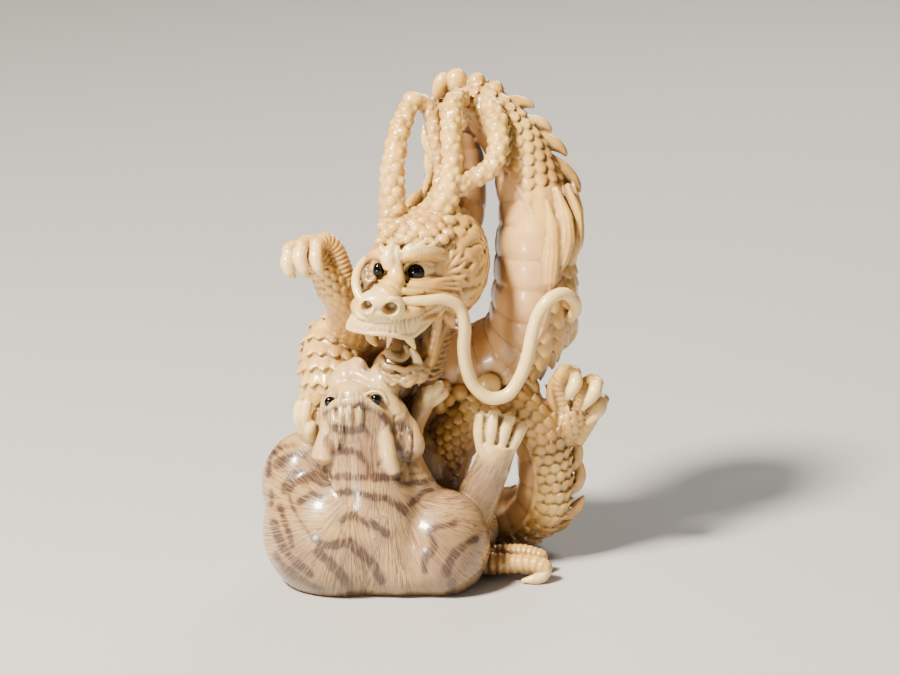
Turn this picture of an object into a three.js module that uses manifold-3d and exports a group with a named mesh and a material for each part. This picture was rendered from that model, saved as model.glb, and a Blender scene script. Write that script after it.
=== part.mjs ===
// Netsuke: a dragon coiled over a tiger, both cut from one block of ivory, with four inlaid eyes.
// Millimetres, +Z up, the tiger's back towards -Y. The origin lies on the flat underside.

import * as THREE from "three";
import { mergeVertices } from "three/addons/utils/BufferGeometryUtils.js";
import Module from "manifold-3d";

const wasm = await Module();
wasm.setup();

// Driving dimensions.
const IVORY = 0xdcc395;
const EYE_BLACK = 0x0b0a0c;
// Where the body's lengthwise edges lie, from the belly round over the back: close together at the crest.
const BODY_ANGLES = [-3.14, -2.35, -1.75, -1.15, -0.62, -0.26, 0, 0.26, 0.62, 1.15, 1.75, 2.35];
const BODY_ROWS = 82;
const SCALE_RISE = 0.045; // how far a scale stands out of the body, as a share of its radius
const BELLY_HALF_ANGLE = 1.0; // radians each side of the middle of the belly
const CREST_RISE = 0.44; // of a lobe on the back, as a share of the body's radius
const CREST_LEAN = 1.1; // how far a lobe's tip leans towards the tail
const DRAGON_EYE_R = 0.86;
const TIGER_EYE_R = 0.66;
const EYE_GAP = 0.3; // clearance of an eye in its socket
const WHISKER_R = 0.73;
const UNDERSIDE = 60; // side of the block that cuts the underside flat

const vector = (p) => new THREE.Vector3(p[0], p[1], p[2]);
const along = (list, t) => {
  const place = Math.min(Math.max(t, 0), 1) * (list.length - 1);
  const k = Math.min(Math.floor(place), list.length - 2);
  return list[k] + (list[k + 1] - list[k]) * (place - k);
};

// A closed three.js geometry as a solid that can be joined and cut.
function solid(geometry) {
  geometry.deleteAttribute("normal");
  geometry.deleteAttribute("uv");
  const merged = mergeVertices(geometry, 1e-4);
  return new wasm.Manifold(
    new wasm.Mesh({
      numProp: 3,
      vertProperties: new Float32Array(merged.attributes.position.array),
      triVerts: new Uint32Array(merged.index.array),
    }),
  );
}

const join = (solids) => solids.reduce((all, next) => all.add(next));

// The rings of a sphere slid along a curve: a limb with closed, rounded or pointed ends.
// frame(t) gives the centre, the way on, the way the back faces and the radius.
// relief(ring, side, angle) gives how far a point stands out, as a share of the radius, and how far
// on it leans; angle is 0 on the back and pi on the belly.
function ringed(frame, angles, rows, cap, relief) {
  const sides = angles.length;
  const geometry = new THREE.SphereGeometry(1, sides, rows);
  const position = geometry.attributes.position;
  for (let ring = 0; ring <= rows; ring++) {
    const t = THREE.MathUtils.clamp(1 - (ring - 1) / (rows - 2), 0, 1);
    const { centre, onward, back, radius } = frame(t);
    const across = back.clone().cross(onward);
    for (let side = 0; side <= sides; side++) {
      const angle = angles[side % sides];
      const place = centre.clone();
      if (ring === 0) place.addScaledVector(onward, cap * radius);
      else if (ring === rows) place.addScaledVector(onward, -cap * radius);
      else {
        const lift = relief(ring, side % sides, angle);
        place.addScaledVector(back, radius * lift.out * Math.cos(angle));
        place.addScaledVector(across, -radius * lift.out * Math.sin(angle) * frame.flat);
        place.addScaledVector(onward, lift.onward ?? 0);
      }
      position.setXYZ(ring * (sides + 1) + side, place.x, place.y, place.z);
    }
  }
  return solid(geometry);
}

const evenAngles = (sides) => Array.from({ length: sides }, (_, k) => (2 * Math.PI * k) / sides - Math.PI);
const smooth = () => ({ out: 1 });
const knobbly = (ring, side) => ({ out: (ring + side) % 2 ? 1.13 : 0.93 });
const ribbed = (ring) => ({ out: ring % 2 ? 1.1 : 0.92 });

// A limb through stations [x, y, z, radius]; the back of its section faces `back`.
function limb(
  stations, { sides = 6, rows = 6, back = [0, -1, 0], flat = 1, cap = 0.6, relief = smooth } = {},
) {
  const path = new THREE.CatmullRomCurve3(stations.map(vector));
  const radii = stations.map((s) => s[3]);
  const facing = vector(back);
  const frame = (t) => {
    const onward = path.getTangent(t);
    const up = facing.clone().addScaledVector(onward, -facing.dot(onward)).normalize();
    return { centre: path.getPoint(t), onward, back: up, radius: along(radii, t) };
  };
  frame.flat = flat;
  return ringed(frame, evenAngles(sides), rows, cap, relief);
}

// An egg-shaped mass: centre, three half-widths, and turns about X, Y and Z in degrees.
function mass(centre, halves, { turn = [0, 0, 0], sides = 9, rows = 6, relief = smooth } = {}) {
  const geometry = new THREE.SphereGeometry(1, sides, rows);
  const position = geometry.attributes.position;
  for (let ring = 1; ring < rows; ring++)
    for (let side = 0; side <= sides; side++) {
      const k = ring * (sides + 1) + side;
      const reach = relief(ring, side % sides).out;
      position.setXYZ(k, position.getX(k) * reach, position.getY(k) * reach, position.getZ(k) * reach);
    }
  geometry.rotateX(Math.PI / 2);
  geometry.scale(...halves);
  const [x, y, z] = turn.map(THREE.MathUtils.degToRad);
  geometry.applyMatrix4(new THREE.Matrix4().makeRotationFromEuler(new THREE.Euler(x, y, z)));
  geometry.translate(...centre);
  return solid(geometry);
}

// A flat pointed lock or lobe from root to tip, bulging in between.
function lock(root, tip, half, { bow = [0, 0, 0], flat = 0.5, back = [0, -1, 0], sides = 3, rows = 4 } = {}) {
  const middle = root.map((v, k) => 0.5 * (v + tip[k]) + bow[k]);
  return limb(
    [[...root, half * 0.75], [...middle, half], [...tip, half * 0.2]],
    { sides, rows, back, flat, cap: 0.8 },
  );
}

// ---- The dragon's body ----

// Stations from the neck to the tail: centre, the way the back faces, radius.
const BODY = [
  [[0.4, -1.5, 37.2], [0.2, 0.5, 0.9], 3.6],
  [[2.4, 2.6, 40.4], [-0.2, 0.9, 0.6], 3.6],
  [[2.8, 6.0, 44.8], [-0.7, 0.7, 0.3], 3.2],
  [[2.5, 7.0, 49.2], [-0.8, 0.3, 0.5], 2.8],
  [[4.6, 6.4, 51.6], [0.0, 0.1, 1.0], 2.8],
  [[7.4, 5.4, 49.8], [0.7, 0.1, 0.7], 3.2],
  [[9.8, 4.2, 46.0], [0.95, 0.1, 0.35], 3.6],
  [[11.3, 3.0, 41.0], [0.9, 0.5, 0.1], 4.1],
  [[11.5, 2.2, 36.0], [0.6, 0.85, 0.0], 4.5],
  [[11.4, 2.4, 30.6], [0.6, 0.8, -0.1], 4.8],
  [[10.2, 3.8, 25.6], [0.6, 0.7, -0.5], 4.7],
  [[5.6, 5.0, 22.2], [0.3, 0.85, -0.4], 4.6],
  [[-0.6, 5.4, 22.6], [-0.1, 1.0, 0.1], 4.5],
  [[-6.2, 4.8, 24.8], [-0.5, 0.7, 0.5], 4.0],
  [[-9.6, 2.2, 25.0], [-0.6, 0.2, 0.8], 3.4],
  [[-10.9, -0.4, 21.4], [-1.0, 0.0, 0.3], 3.3],
  [[-10.7, 0.4, 16.6], [-0.95, 0.3, 0.0], 3.4],
  [[-9.8, 3.4, 11.2], [-0.8, 0.6, -0.1], 3.7],
  [[-7.6, 6.6, 6.4], [-0.6, 0.8, 0.1], 3.9],
  [[-2.8, 8.2, 4.0], [-0.1, 1.0, 0.3], 3.9],
  [[3.4, 7.4, 3.6], [0.2, 1.0, 0.1], 3.8],
  [[9.0, 4.8, 3.8], [0.6, 0.6, -0.5], 3.6],
  [[12.3, 2.6, 6.4], [0.95, 0.2, -0.3], 3.3],
  [[12.7, 1.6, 11.2], [1.0, 0.2, 0.1], 3.2],
  [[11.7, 1.6, 15.4], [0.8, 0.1, 0.6], 3.2],
  [[8.6, 2.2, 18.0], [0.1, 0.0, 1.0], 3.1],
  [[4.6, 2.6, 17.0], [-0.4, 0.0, 0.9], 3.1],
  [[2.2, 2.8, 13.4], [-0.8, 0.0, 0.6], 3.0],
  [[0.8, 2.8, 9.2], [-0.9, 0.0, 0.4], 2.8],
  [[-1.6, 2.8, 5.6], [-0.8, 0.0, 0.7], 2.2],
  [[-5.2, 2.6, 4.4], [-0.2, 0.0, 1.0], 1.2],
];
const bodyPath = new THREE.CatmullRomCurve3(BODY.map((s) => vector(s[0])));
const bodyBack = new THREE.CatmullRomCurve3(BODY.map((s) => vector(s[1])));
const bodyRadii = BODY.map((s) => s[2]);
bodyPath.arcLengthDivisions = 600;
const BODY_LENGTH = bodyPath.getLength();

function bodyFrame(t) {
  const u = bodyPath.getUtoTmapping(t);
  const onward = bodyPath.getTangent(u);
  const back = bodyBack.getPoint(u);
  back.addScaledVector(onward, -back.dot(onward)).normalize();
  return { centre: bodyPath.getPoint(u), onward, back, radius: along(bodyRadii, u) };
}
bodyFrame.flat = 1;

// The crest is the vertex row on the back: every second ring carries a lobe that leans to the tail.
// Scales stand out in a diamond lattice; the belly is a strip of wide stepped plates.
function hide(ring, side, angle) {
  if (angle === 0 && ring % 2) return { out: 1.04 };
  if (angle === 0) return { out: 1 + CREST_RISE, onward: CREST_LEAN };
  if (Math.PI - Math.abs(angle) < BELLY_HALF_ANGLE) return { out: ring % 2 ? 0.96 : 0.92 };
  return { out: (ring + side) % 2 ? 1 + SCALE_RISE : 1 - SCALE_RISE };
}

function dragonBody() {
  return ringed(bodyFrame, BODY_ANGLES, BODY_ROWS, 0.4, hide);
}

// Long flame-like strands lying down the right flank, from root to tip.
function flankFlames() {
  const strands = [
    [[11.0, -2.0, 41.4], [11.2, -3.2, 37.2], [11.6, -2.9, 32.8]],
    [[12.4, -1.4, 42.0], [12.8, -2.7, 37.6], [13.0, -2.6, 33.2]],
    [[13.6, -0.4, 42.4], [14.3, -1.6, 38.2], [14.3, -1.7, 33.8]],
    [[14.4, 1.0, 41.6], [15.3, 0.0, 38.0], [15.3, -0.5, 34.4]],
  ];
  return join(
    strands.map(([root, middle, tip]) =>
      limb(
        [[...root, 0.7], [...middle, 1.0], [...tip, 0.25]],
        { sides: 5, rows: 5, back: [0.5, -1, 0], flat: 0.8 },
      ),
    ),
  );
}

// ---- The dragon's head ----

function antlers() {
  const stems = [
    // outer left, from the scalp to the arch of the body
    [
      [-3.9, -4.2, 40.6, 1.5], [-4.3, -3.6, 43.6, 1.3], [-4.2, -2.4, 47.0, 1.25], [-3.4, -0.6, 50.8, 1.1],
      [-2.0, 1.5, 53.4, 0.95],
    ],
    // its inner tine, rising beside it and meeting its top
    [
      [-1.2, -3.6, 41.4, 0.9], [0.7, -1.0, 43.6, 0.8], [1.0, 0.2, 46.2, 0.72], [0.4, 0.8, 49.4, 0.75],
      [-0.4, 1.9, 52.6, 0.9], [-1.8, 1.8, 53.3, 0.8],
    ],
    // main right
    [
      [0.9, -3.6, 40.8, 1.6], [1.7, -3.1, 44.0, 1.25], [2.3, -2.4, 46.8, 1.1], [2.1, -1.6, 50.0, 1.05],
      [2.3, 1.2, 53.2, 1.1], [3.4, 3.6, 53.2, 0.9],
    ],
    // its outer tine, curling out and up to the arch
    [
      [1.9, -2.7, 44.8, 1.1], [4.2, -2.1, 45.2, 1.05], [6.3, -1.4, 46.2, 1.05], [7.3, -0.2, 48.2, 1.1],
      [7.1, 1.4, 51.0, 1.1], [6.2, 3.6, 52.8, 1.1],
    ],
  ];
  return join(stems.map((stem) => limb(stem, { sides: 5, rows: 9, relief: knobbly, back: [1, -0.4, 0.1] })));
}

function skull() {
  return join([
    mass([-1.3, -3.6, 38.4], [4.7, 4.9, 4.4], { sides: 9, rows: 7, relief: knobbly, turn: [0, 0, -14] }),
    // cheeks and the back of the jaw
    mass([1.2, -4.6, 34.0], [3.9, 3.6, 3.4], { sides: 8, rows: 6 }),
    mass([-4.6, -5.6, 34.6], [2.6, 3.4, 3.0], { sides: 6, rows: 4 }),
    // the mane's own bulk, behind the cheek
    mass([2.4, -1.6, 34.8], [4.1, 3.4, 4.3], { sides: 8, rows: 6 }),
    // brows, heavy over the eyes
    limb([
      [-4.3, -8.1, 38.3, 0.7], [-2.6, -8.5, 38.9, 1.25], [0.1, -7.6, 38.7, 1.15], [1.8, -5.9, 37.8, 0.6],
    ]),
    limb([[-4.9, -8.0, 38.4, 0.6], [-5.9, -7.6, 38.9, 1.0], [-6.6, -6.2, 38.4, 0.6]], { rows: 5, sides: 5 }),
    // eyebrow flames
    lock([-3.4, -8.6, 39.2], [-1.2, -8.2, 41.0], 0.7),
    lock([-5.0, -8.4, 38.6], [-5.4, -7.6, 40.6], 0.8),
    // eyelids, full round the eyes
    mass([-1.7, -7.3, 36.5], [1.75, 1.7, 1.35], { sides: 8, rows: 5 }),
    mass([-5.6, -7.7, 36.6], [1.1, 1.5, 1.4], { sides: 8, rows: 5 }),
    // cheek folds under the right eye
    limb([[-2.6, -8.7, 34.8, 0.6], [0.4, -7.6, 34.8, 0.9], [3.4, -5.5, 35.8, 0.4]], { rows: 4, sides: 5 }),
  ]);
}

function snout() {
  const bulb = join([
    limb(
      [
        [-3.7, -7.6, 37.2, 1.1], [-4.2, -9.6, 35.4, 1.5], [-5.0, -11.0, 34.2, 1.9],
        [-5.2, -12.0, 33.6, 1.6],
      ],
      { rows: 5, flat: 1.2 },
    ),
    mass([-6.5, -12.0, 33.9], [1.35, 1.35, 1.3], { sides: 6, rows: 4 }),
    mass([-4.2, -11.7, 33.6], [1.6, 1.5, 1.4], { sides: 7, rows: 4 }),
  ]);
  const nostrils = join([
    mass([-6.7, -13.1, 33.7], [0.45, 0.9, 0.5], { sides: 5, rows: 3 }),
    mass([-4.4, -13.0, 33.4], [0.55, 0.9, 0.5], { sides: 5, rows: 3 }),
  ]);
  return bulb.subtract(nostrils);
}

// The upper lip: a broad plate under the nose, its edge cut into a fan of wrinkles.
function upperLip() {
  const wrinkled = (ring, side) => ({ out: side % 2 ? 1.05 : 0.93 });
  return mass(
    [-3.8, -9.3, 32.1], [5.6, 3.0, 1.3], { turn: [10, -14, 10], sides: 18, rows: 4, relief: wrinkled },
  );
}

function jaw() {
  return join([
    // lower jaw, from the hinge to the chin
    limb([[1.0, -3.8, 31.4, 2.0], [0.2, -4.8, 28.0, 1.9], [-1.8, -6.2, 25.8, 1.7], [-4.2, -7.2, 25.0, 1.3]]),
    // lower lip, raised round the tongue
    limb(
      [
        [0.3, -6.4, 28.6, 0.6], [-1.4, -7.8, 26.7, 0.75], [-3.8, -8.4, 26.2, 0.75],
        [-5.4, -7.6, 27.0, 0.6],
      ],
      { sides: 5 },
    ),
    // chin beard
    lock([-1.4, -6.8, 25.4], [-1.9, -6.6, 22.6], 1.2, { flat: 0.8 }),
    lock([-3.6, -7.2, 25.2], [-3.9, -7.0, 23.2], 1.0, { flat: 0.8 }),
    // tongue, curled at its tip
    limb(
      [
        [-0.8, -4.4, 28.6, 1.1], [-3.2, -6.8, 28.0, 1.2], [-4.6, -7.8, 28.6, 0.9],
        [-4.2, -7.6, 29.8, 0.5],
      ],
      { sides: 4, rows: 5 },
    ),
    // corner of the mouth and the palate, closing it at the back
    mass([-2.6, -4.4, 30.6], [3.8, 2.6, 3.0], { sides: 7, rows: 5 }),
    // fangs, two down and two up
    lock([-1.9, -9.0, 31.2], [-1.8, -8.9, 28.9], 0.55, { flat: 0.9 }),
    lock([-4.9, -9.2, 30.9], [-5.1, -9.0, 28.9], 0.5, { flat: 0.9 }),
    lock([-1.2, -7.8, 26.6], [-1.6, -8.2, 29.0], 0.7, { flat: 0.9 }),
  ]);
}

// Layers of pointed locks on the cheek and neck, fanned outwards and back from the face.
function mane() {
  const locks = [];
  const layers = [
    { count: 4, from: [1.5, -5.6, 35.4], reach: 3.8, half: 1.1, start: -0.95, end: 1.15, back: 1.4 },
    { count: 4, from: [3.0, -3.4, 35.0], reach: 4.5, half: 1.3, start: -1.15, end: 1.35, back: 2.0 },
    { count: 5, from: [2.8, -1.2, 35.4], reach: 4.6, half: 1.5, start: -1.3, end: 1.6, back: 2.6 },
  ];
  for (const { count, from, reach, half, start, end, back } of layers)
    for (let k = 0; k < count; k++) {
      const turn = THREE.MathUtils.lerp(start, end, k / (count - 1));
      const root = [from[0] - 0.6 * reach * 0.3, from[1], from[2] + 1.2 * Math.sin(turn)];
      const tip = [
        from[0] + 0.82 * reach * Math.cos(turn), from[1] + back, from[2] + 1.25 * reach * Math.sin(turn),
      ];
      locks.push(lock(root, tip, half, { bow: [0.5, -0.5, 0], flat: 0.6 }));
    }
  return join(locks);
}

function whiskers() {
  const right = [
    [-3.6, -11.2, 33.9], [-0.7, -10.8, 33.9], [1.4, -10.0, 33.8], [3.0, -9.3, 32.7], [3.6, -8.8, 30.4],
    [3.5, -8.0, 27.8], [3.8, -7.5, 25.3], [4.7, -7.0, 23.0], [6.4, -6.7, 21.6], [8.3, -6.4, 21.9],
    [9.6, -6.0, 23.6], [10.5, -5.5, 26.0], [11.0, -5.0, 28.4], [11.7, -4.8, 30.7], [12.9, -4.4, 32.2],
    [14.4, -3.4, 32.6], [15.6, -2.4, 31.6], [15.9, -1.0, 30.0], [15.2, 0.4, 28.8],
  ];
  const left = [
    [-6.6, -11.2, 33.6], [-7.7, -10.6, 34.2], [-8.2, -9.4, 35.4], [-8.0, -7.8, 36.4], [-7.2, -6.2, 37.1],
    [-6.0, -5.0, 37.4],
  ];
  const hair = (points, rows) => limb(
    points.map((p) => [...p, WHISKER_R]), { sides: 4, rows, back: [0.3, -1, 0.2] },
  );
  return join([hair(right, 23), hair(left, 7)]);
}

// ---- The dragon's feet ----

// One toe: a ribbed finger from its root over the knuckle, then a hooked claw that falls to its tip.
function toe(root, knuckle, fall, tip, half) {
  const stations = [[...root, half], [...knuckle, half], [...fall, half * 0.9], [...tip, half * 0.2]];
  return limb(stations, { rows: 9, sides: 4, relief: ribbed, back: [0.3, 0.3, -1] });
}

function raisedArm() {
  return join([
    limb([
      [-9.0, 1.6, 26.6, 2.6], [-9.6, -1.2, 29.2, 2.3], [-9.3, -2.8, 31.4, 2.1], [-10.6, -4.0, 34.2, 2.2],
      [-11.8, -4.4, 35.6, 1.4],
    ], {
      rows: 7,
      sides: 7,
      relief: knobbly,
      back: [1, 0, 0.3],
    }),
    toe([-11.4, -4.4, 35.6], [-14.4, -5.2, 38.6], [-15.7, -6.4, 38.2], [-15.3, -7.4, 35.6], 1.0),
    toe([-10.9, -4.4, 36.0], [-13.2, -5.4, 39.8], [-14.3, -7.2, 38.6], [-13.6, -8.0, 36.0], 0.95),
    toe([-9.2, -3.8, 34.4], [-10.6, -4.6, 39.0], [-12.2, -6.8, 39.2], [-12.0, -7.6, 36.0], 0.95),
  ]);
}

function sideFoot() {
  return join([
    limb(
      [[12.6, 1.4, 14.2, 2.2], [14.8, 1.6, 16.2, 1.8], [16.2, 1.4, 17.8, 1.3]],
      { rows: 6, relief: knobbly },
    ),
    toe([15.0, 1.2, 17.0], [14.9, 0.4, 22.2], [16.0, -1.0, 23.0], [14.9, -2.1, 20.2], 0.95),
    toe([16.0, 1.3, 17.0], [17.2, 0.9, 21.2], [18.3, -0.6, 21.6], [16.7, -1.6, 19.0], 0.9),
    toe([16.2, 1.6, 16.0], [18.4, 1.4, 19.0], [19.1, 0.0, 19.2], [17.4, -0.8, 16.8], 0.85),
    lock([14.4, 1.2, 18.0], [13.5, 0.4, 21.8], 0.7, { flat: 0.8 }),
  ]);
}

function groundFoot() {
  const onGround = { rows: 13, sides: 5, relief: ribbed, back: [0, 0, 1] };
  return join([
    limb([[1.6, 1.2, 2.6, 2.2], [4.6, -2.6, 1.9, 1.5], [6.6, -3.8, 1.5, 1.2]], { rows: 4 }),
    limb(
      [
        [4.8, -3.6, 1.1, 1.15], [8.6, -4.6, 1.55, 1.1], [11.8, -5.3, 2.1, 1.0], [12.8, -5.9, 1.0, 0.8],
        [10.2, -6.5, 0.5, 0.3],
      ],
      onGround,
    ),
    limb(
      [
        [5.6, -1.6, 1.4, 1.1], [9.0, -1.8, 1.9, 1.0], [12.0, -2.4, 2.1, 0.9], [12.7, -3.0, 1.1, 0.7],
        [10.6, -3.6, 0.5, 0.3],
      ],
      onGround,
    ),
  ]);
}

// ---- The tiger ----

function tigerBody() {
  return join([
    // barrel of the body, curled to the front left
    mass([-10.0, -5.6, 6.0], [8.6, 8.4, 8.4], { sides: 13, rows: 8, turn: [0, 0, 8] }),
    // rump, high on the left
    mass([-14.6, -2.6, 11.4], [4.1, 4.8, 5.4], { turn: [0, 12, 0], sides: 10, rows: 7 }),
    // shoulder on the right and the front of the chest
    mass([0.5, -6.9, 4.4], [5.6, 6.6, 6.5], { sides: 11, rows: 7, turn: [0, -8, 0] }),
    // back of the neck, from the nape into the barrel
    limb(
      [[-7.2, -6.2, 18.4, 4.0], [-7.0, -7.2, 14.4, 4.5], [-6.0, -8.0, 10.0, 5.0], [-4.4, -7.8, 3.4, 5.2]],
      { sides: 10, rows: 7 },
    ),
    // belly, hidden under the dragon, with the ground it stands on
    mass([-2.6, 0.8, 4.0], [10.4, 7.4, 5.2], { sides: 9, rows: 6 }),
    // flank, wrapped by the dragon's lower coil
    mass([-3.0, 3.0, 9.4], [7.4, 4.8, 6.6], { sides: 9, rows: 6 }),
    // tail, laid up the back of the rump
    limb(
      [[-13.6, 1.6, 4.0, 1.6], [-14.2, 3.4, 8.0, 1.4], [-13.6, 3.8, 12.0, 1.2], [-12.4, 3.0, 14.8, 0.8]],
      { rows: 5, sides: 5 },
    ),
  ]);
}

function tigerHead() {
  const parts = [
    mass([-7.2, -6.4, 18.4], [5.1, 4.7, 4.9], { sides: 10, rows: 7 }),
    // bridge of the nose and the two lobes of the muzzle, thrown back and up
    limb([[-7.4, -7.8, 20.2, 2.0], [-7.8, -6.4, 22.4, 2.0], [-7.9, -4.6, 23.4, 1.6]], { rows: 4, flat: 1.3 }),
    mass([-9.3, -4.4, 23.0], [1.8, 2.2, 1.9], { sides: 8, rows: 5 }),
    mass([-6.3, -4.4, 22.9], [1.9, 2.2, 1.8], { sides: 8, rows: 5 }),
    // cheeks
    mass([-3.6, -5.8, 20.0], [2.0, 2.8, 3.2], { turn: [0, 18, 0], sides: 7, rows: 5 }),
    mass([-11.0, -5.8, 19.8], [1.7, 2.8, 2.6], { sides: 7, rows: 5 }),
    // brow, a ledge above the eyes
    limb(
      [
        [-11.6, -8.2, 20.2, 0.6], [-9.6, -9.8, 21.2, 0.9], [-6.6, -10.0, 21.6, 0.9],
        [-4.2, -8.4, 20.4, 0.6],
      ],
      { rows: 5, sides: 5 },
    ),
    // ears, laid back against the neck
    lock(
      [-11.0, -8.8, 19.4], [-13.0, -10.0, 14.4], 1.35,
      { bow: [-0.5, -0.4, 0], flat: 0.6, rows: 5, sides: 5 },
    ),
    lock(
      [-5.4, -10.0, 19.0], [-3.7, -12.0, 14.4], 1.3,
      { bow: [0.3, -0.6, 0], flat: 0.6, rows: 5, sides: 5 },
    ),
    // ruff of the cheek, a flap on the right
    limb(
      [
        [-3.2, -6.4, 19.6, 1.3], [-1.8, -7.4, 17.0, 1.7], [-1.2, -8.4, 14.8, 1.2],
        [-2.4, -9.0, 13.6, 0.8],
      ],
      { rows: 6, flat: 0.6 },
    ),
  ];
  // ridges of the forehead, running up between the ears
  for (let k = 0; k < 3; k++) {
    const x = -9.4 + 1.3 * k;
    parts.push(limb(
      [[x, -10.4, 18.6, 0.4], [x + 0.05, -10.5, 20.0, 0.55], [x + 0.1, -9.4, 21.4, 0.35]],
      { rows: 4, sides: 4 },
    ));
  }
  return join(parts);
}

// A paw: toes side by side, each a rounded finger from its root to its tip.
function paw(toes, half) {
  return join(toes.map(([root, tip], k) => limb(
    [[...root, half * 0.9], [...tip, half]], { rows: 4, sides: 6, cap: 0.8 - 0.05 * k },
  )));
}

function tigerForelegs() {
  return join([
    // right foreleg, pressed against the dragon's coil
    limb(
      [
        [2.6, -1.6, 3.0, 2.6], [4.6, -2.8, 7.2, 2.5], [6.3, -3.9, 11.2, 2.0], [7.2, -4.3, 14.0, 1.75],
        [7.6, -4.4, 16.0, 1.9],
      ],
      { sides: 7, rows: 6 },
    ),
    paw(
      [
        [[5.9, -4.8, 15.6], [5.4, -4.2, 18.8]],
        [[7.2, -5.2, 16.0], [7.1, -4.6, 19.2]],
        [[8.3, -5.0, 16.0], [8.8, -4.4, 18.8]],
        [[9.0, -4.2, 15.6], [10.0, -3.6, 17.6]],
      ],
      0.85,
    ),
    mass([8.0, -4.8, 12.6], [0.7, 0.6, 0.8], { sides: 5, rows: 4 }),
    // left foreleg, reaching up under the dragon's jaw
    limb(
      [[-2.6, -1.6, 13.6, 2.0], [-1.2, -2.4, 17.6, 1.5], [-0.1, -3.2, 20.8, 1.3], [0.6, -3.4, 22.2, 1.0]],
      { rows: 7 },
    ),
    mass([0.8, -3.8, 20.6], [0.9, 0.8, 0.9], { sides: 5, rows: 4 }),
  ]);
}

function tigerHindPaw() {
  return join([
    limb([[-12.8, -2.6, 13.6, 2.0], [-13.0, -4.2, 16.2, 1.5], [-13.6, -5.0, 18.6, 1.4]], { rows: 6 }),
    paw(
      [
        [[-14.6, -5.4, 17.6], [-15.0, -5.6, 20.2]],
        [[-13.6, -5.8, 18.0], [-13.7, -5.8, 20.8]],
        [[-12.6, -5.2, 17.2], [-12.5, -5.2, 19.6]],
      ],
      0.75,
    ),
  ]);
}

// ---- The eyes and their sockets ----

const EYES = {
  dragon_eye_left: { at: [-5.75, -8.9, 36.7], r: DRAGON_EYE_R },
  dragon_eye_right: { at: [-1.75, -8.75, 36.5], r: DRAGON_EYE_R },
  tiger_eye_left: { at: [-11.1, -8.3, 21.6], r: TIGER_EYE_R },
  tiger_eye_right: { at: [-6.1, -9.0, 22.2], r: TIGER_EYE_R },
};

const ball = (at, r) => new THREE.SphereGeometry(r, 8, 5).rotateX(Math.PI / 2).translate(...at);

// ---- Assembly ----

function carving() {
  const joined = join([
    dragonBody(),
    flankFlames(),
    antlers(),
    skull(),
    snout(),
    upperLip(),
    jaw(),
    mane(),
    whiskers(),
    raisedArm(),
    sideFoot(),
    groundFoot(),
    tigerBody(),
    tigerHead(),
    tigerForelegs(),
    tigerHindPaw(),
  ]);
  const ground = solid(new THREE.BoxGeometry(UNDERSIDE, UNDERSIDE, 10).translate(0, 0, -5));
  const sockets = Object.values(EYES).map(({ at, r }) => solid(ball(at, r + EYE_GAP)));
  return outerSkin(joined.subtract(ground).subtract(join(sockets)));
}

// The limbs close small hollows off between them; the block is solid there.
function outerSkin(made) {
  const shells = made.decompose();
  return shells.reduce((largest, shell) => (shell.volume() > largest.volume() ? shell : largest));
}

function geometryOf(made) {
  const mesh = made.getMesh();
  const geometry = new THREE.BufferGeometry();
  geometry.setAttribute("position", new THREE.BufferAttribute(new Float32Array(mesh.vertProperties), 3));
  geometry.setIndex(new THREE.BufferAttribute(new Uint32Array(mesh.triVerts), 1));
  geometry.computeVertexNormals();
  return geometry;
}

function piece(name, geometry, color, roughness) {
  const mesh = new THREE.Mesh(geometry, new THREE.MeshStandardMaterial({ color, roughness, metalness: 0 }));
  mesh.name = name;
  return mesh;
}

const netsuke = new THREE.Group();
netsuke.add(piece("carving", geometryOf(carving()), IVORY, 0.35));
for (const [name, { at, r }] of Object.entries(EYES)) netsuke.add(piece(name, ball(at, r), EYE_BLACK, 0.08));

export default netsuke;
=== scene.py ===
# Netsuke: a dragon coiled over a tiger, carved in ivory, with inlaid black eyes.
# The forms are laid up in millimetres as overlapping lumps, as a carver blocks them out, then
# drawn into one skin, engraved and polished. Each finished piece is brought to metres at the end.

import math
import random

import bmesh
import bpy
import numpy as np
from mathutils import Euler, Matrix, Vector
from mathutils.kdtree import KDTree


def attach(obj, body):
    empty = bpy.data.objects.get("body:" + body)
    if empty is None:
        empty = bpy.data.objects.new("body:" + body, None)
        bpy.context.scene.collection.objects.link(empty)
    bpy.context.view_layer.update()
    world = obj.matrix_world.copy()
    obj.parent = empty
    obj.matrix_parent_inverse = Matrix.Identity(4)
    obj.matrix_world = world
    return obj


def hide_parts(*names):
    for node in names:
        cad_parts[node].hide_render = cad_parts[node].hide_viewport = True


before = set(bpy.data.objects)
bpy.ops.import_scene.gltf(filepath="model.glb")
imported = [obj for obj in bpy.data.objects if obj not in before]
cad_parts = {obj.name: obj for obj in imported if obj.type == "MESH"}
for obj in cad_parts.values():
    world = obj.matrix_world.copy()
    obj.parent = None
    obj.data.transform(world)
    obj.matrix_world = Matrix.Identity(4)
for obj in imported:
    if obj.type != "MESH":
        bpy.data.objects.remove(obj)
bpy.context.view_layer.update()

MM = 0.001
MOST_FACES = 196_000  # of one piece, in triangles
BODY_VOXEL, LIMBS_VOXEL, HEAD_VOXEL, TIGER_VOXEL = 0.14, 0.11, 0.115, 0.14  # of each skin, in millimetres
HOLLOW_DEPTH = 0.05  # millimetres below its surroundings at which a cut counts as full of dirt

# The finishes that a lump can carry, as numbers on the skin; the last is brown dirt together with painted
# shade, put in the mouth, the nostrils, the hollow by the eye and the web between the parts.
HIDE, PALE, BELLY, DIRT_AND_SHADE = 0.0, 1.0, 2.0, 3.0


# ---- Lines through stations ----

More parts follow.
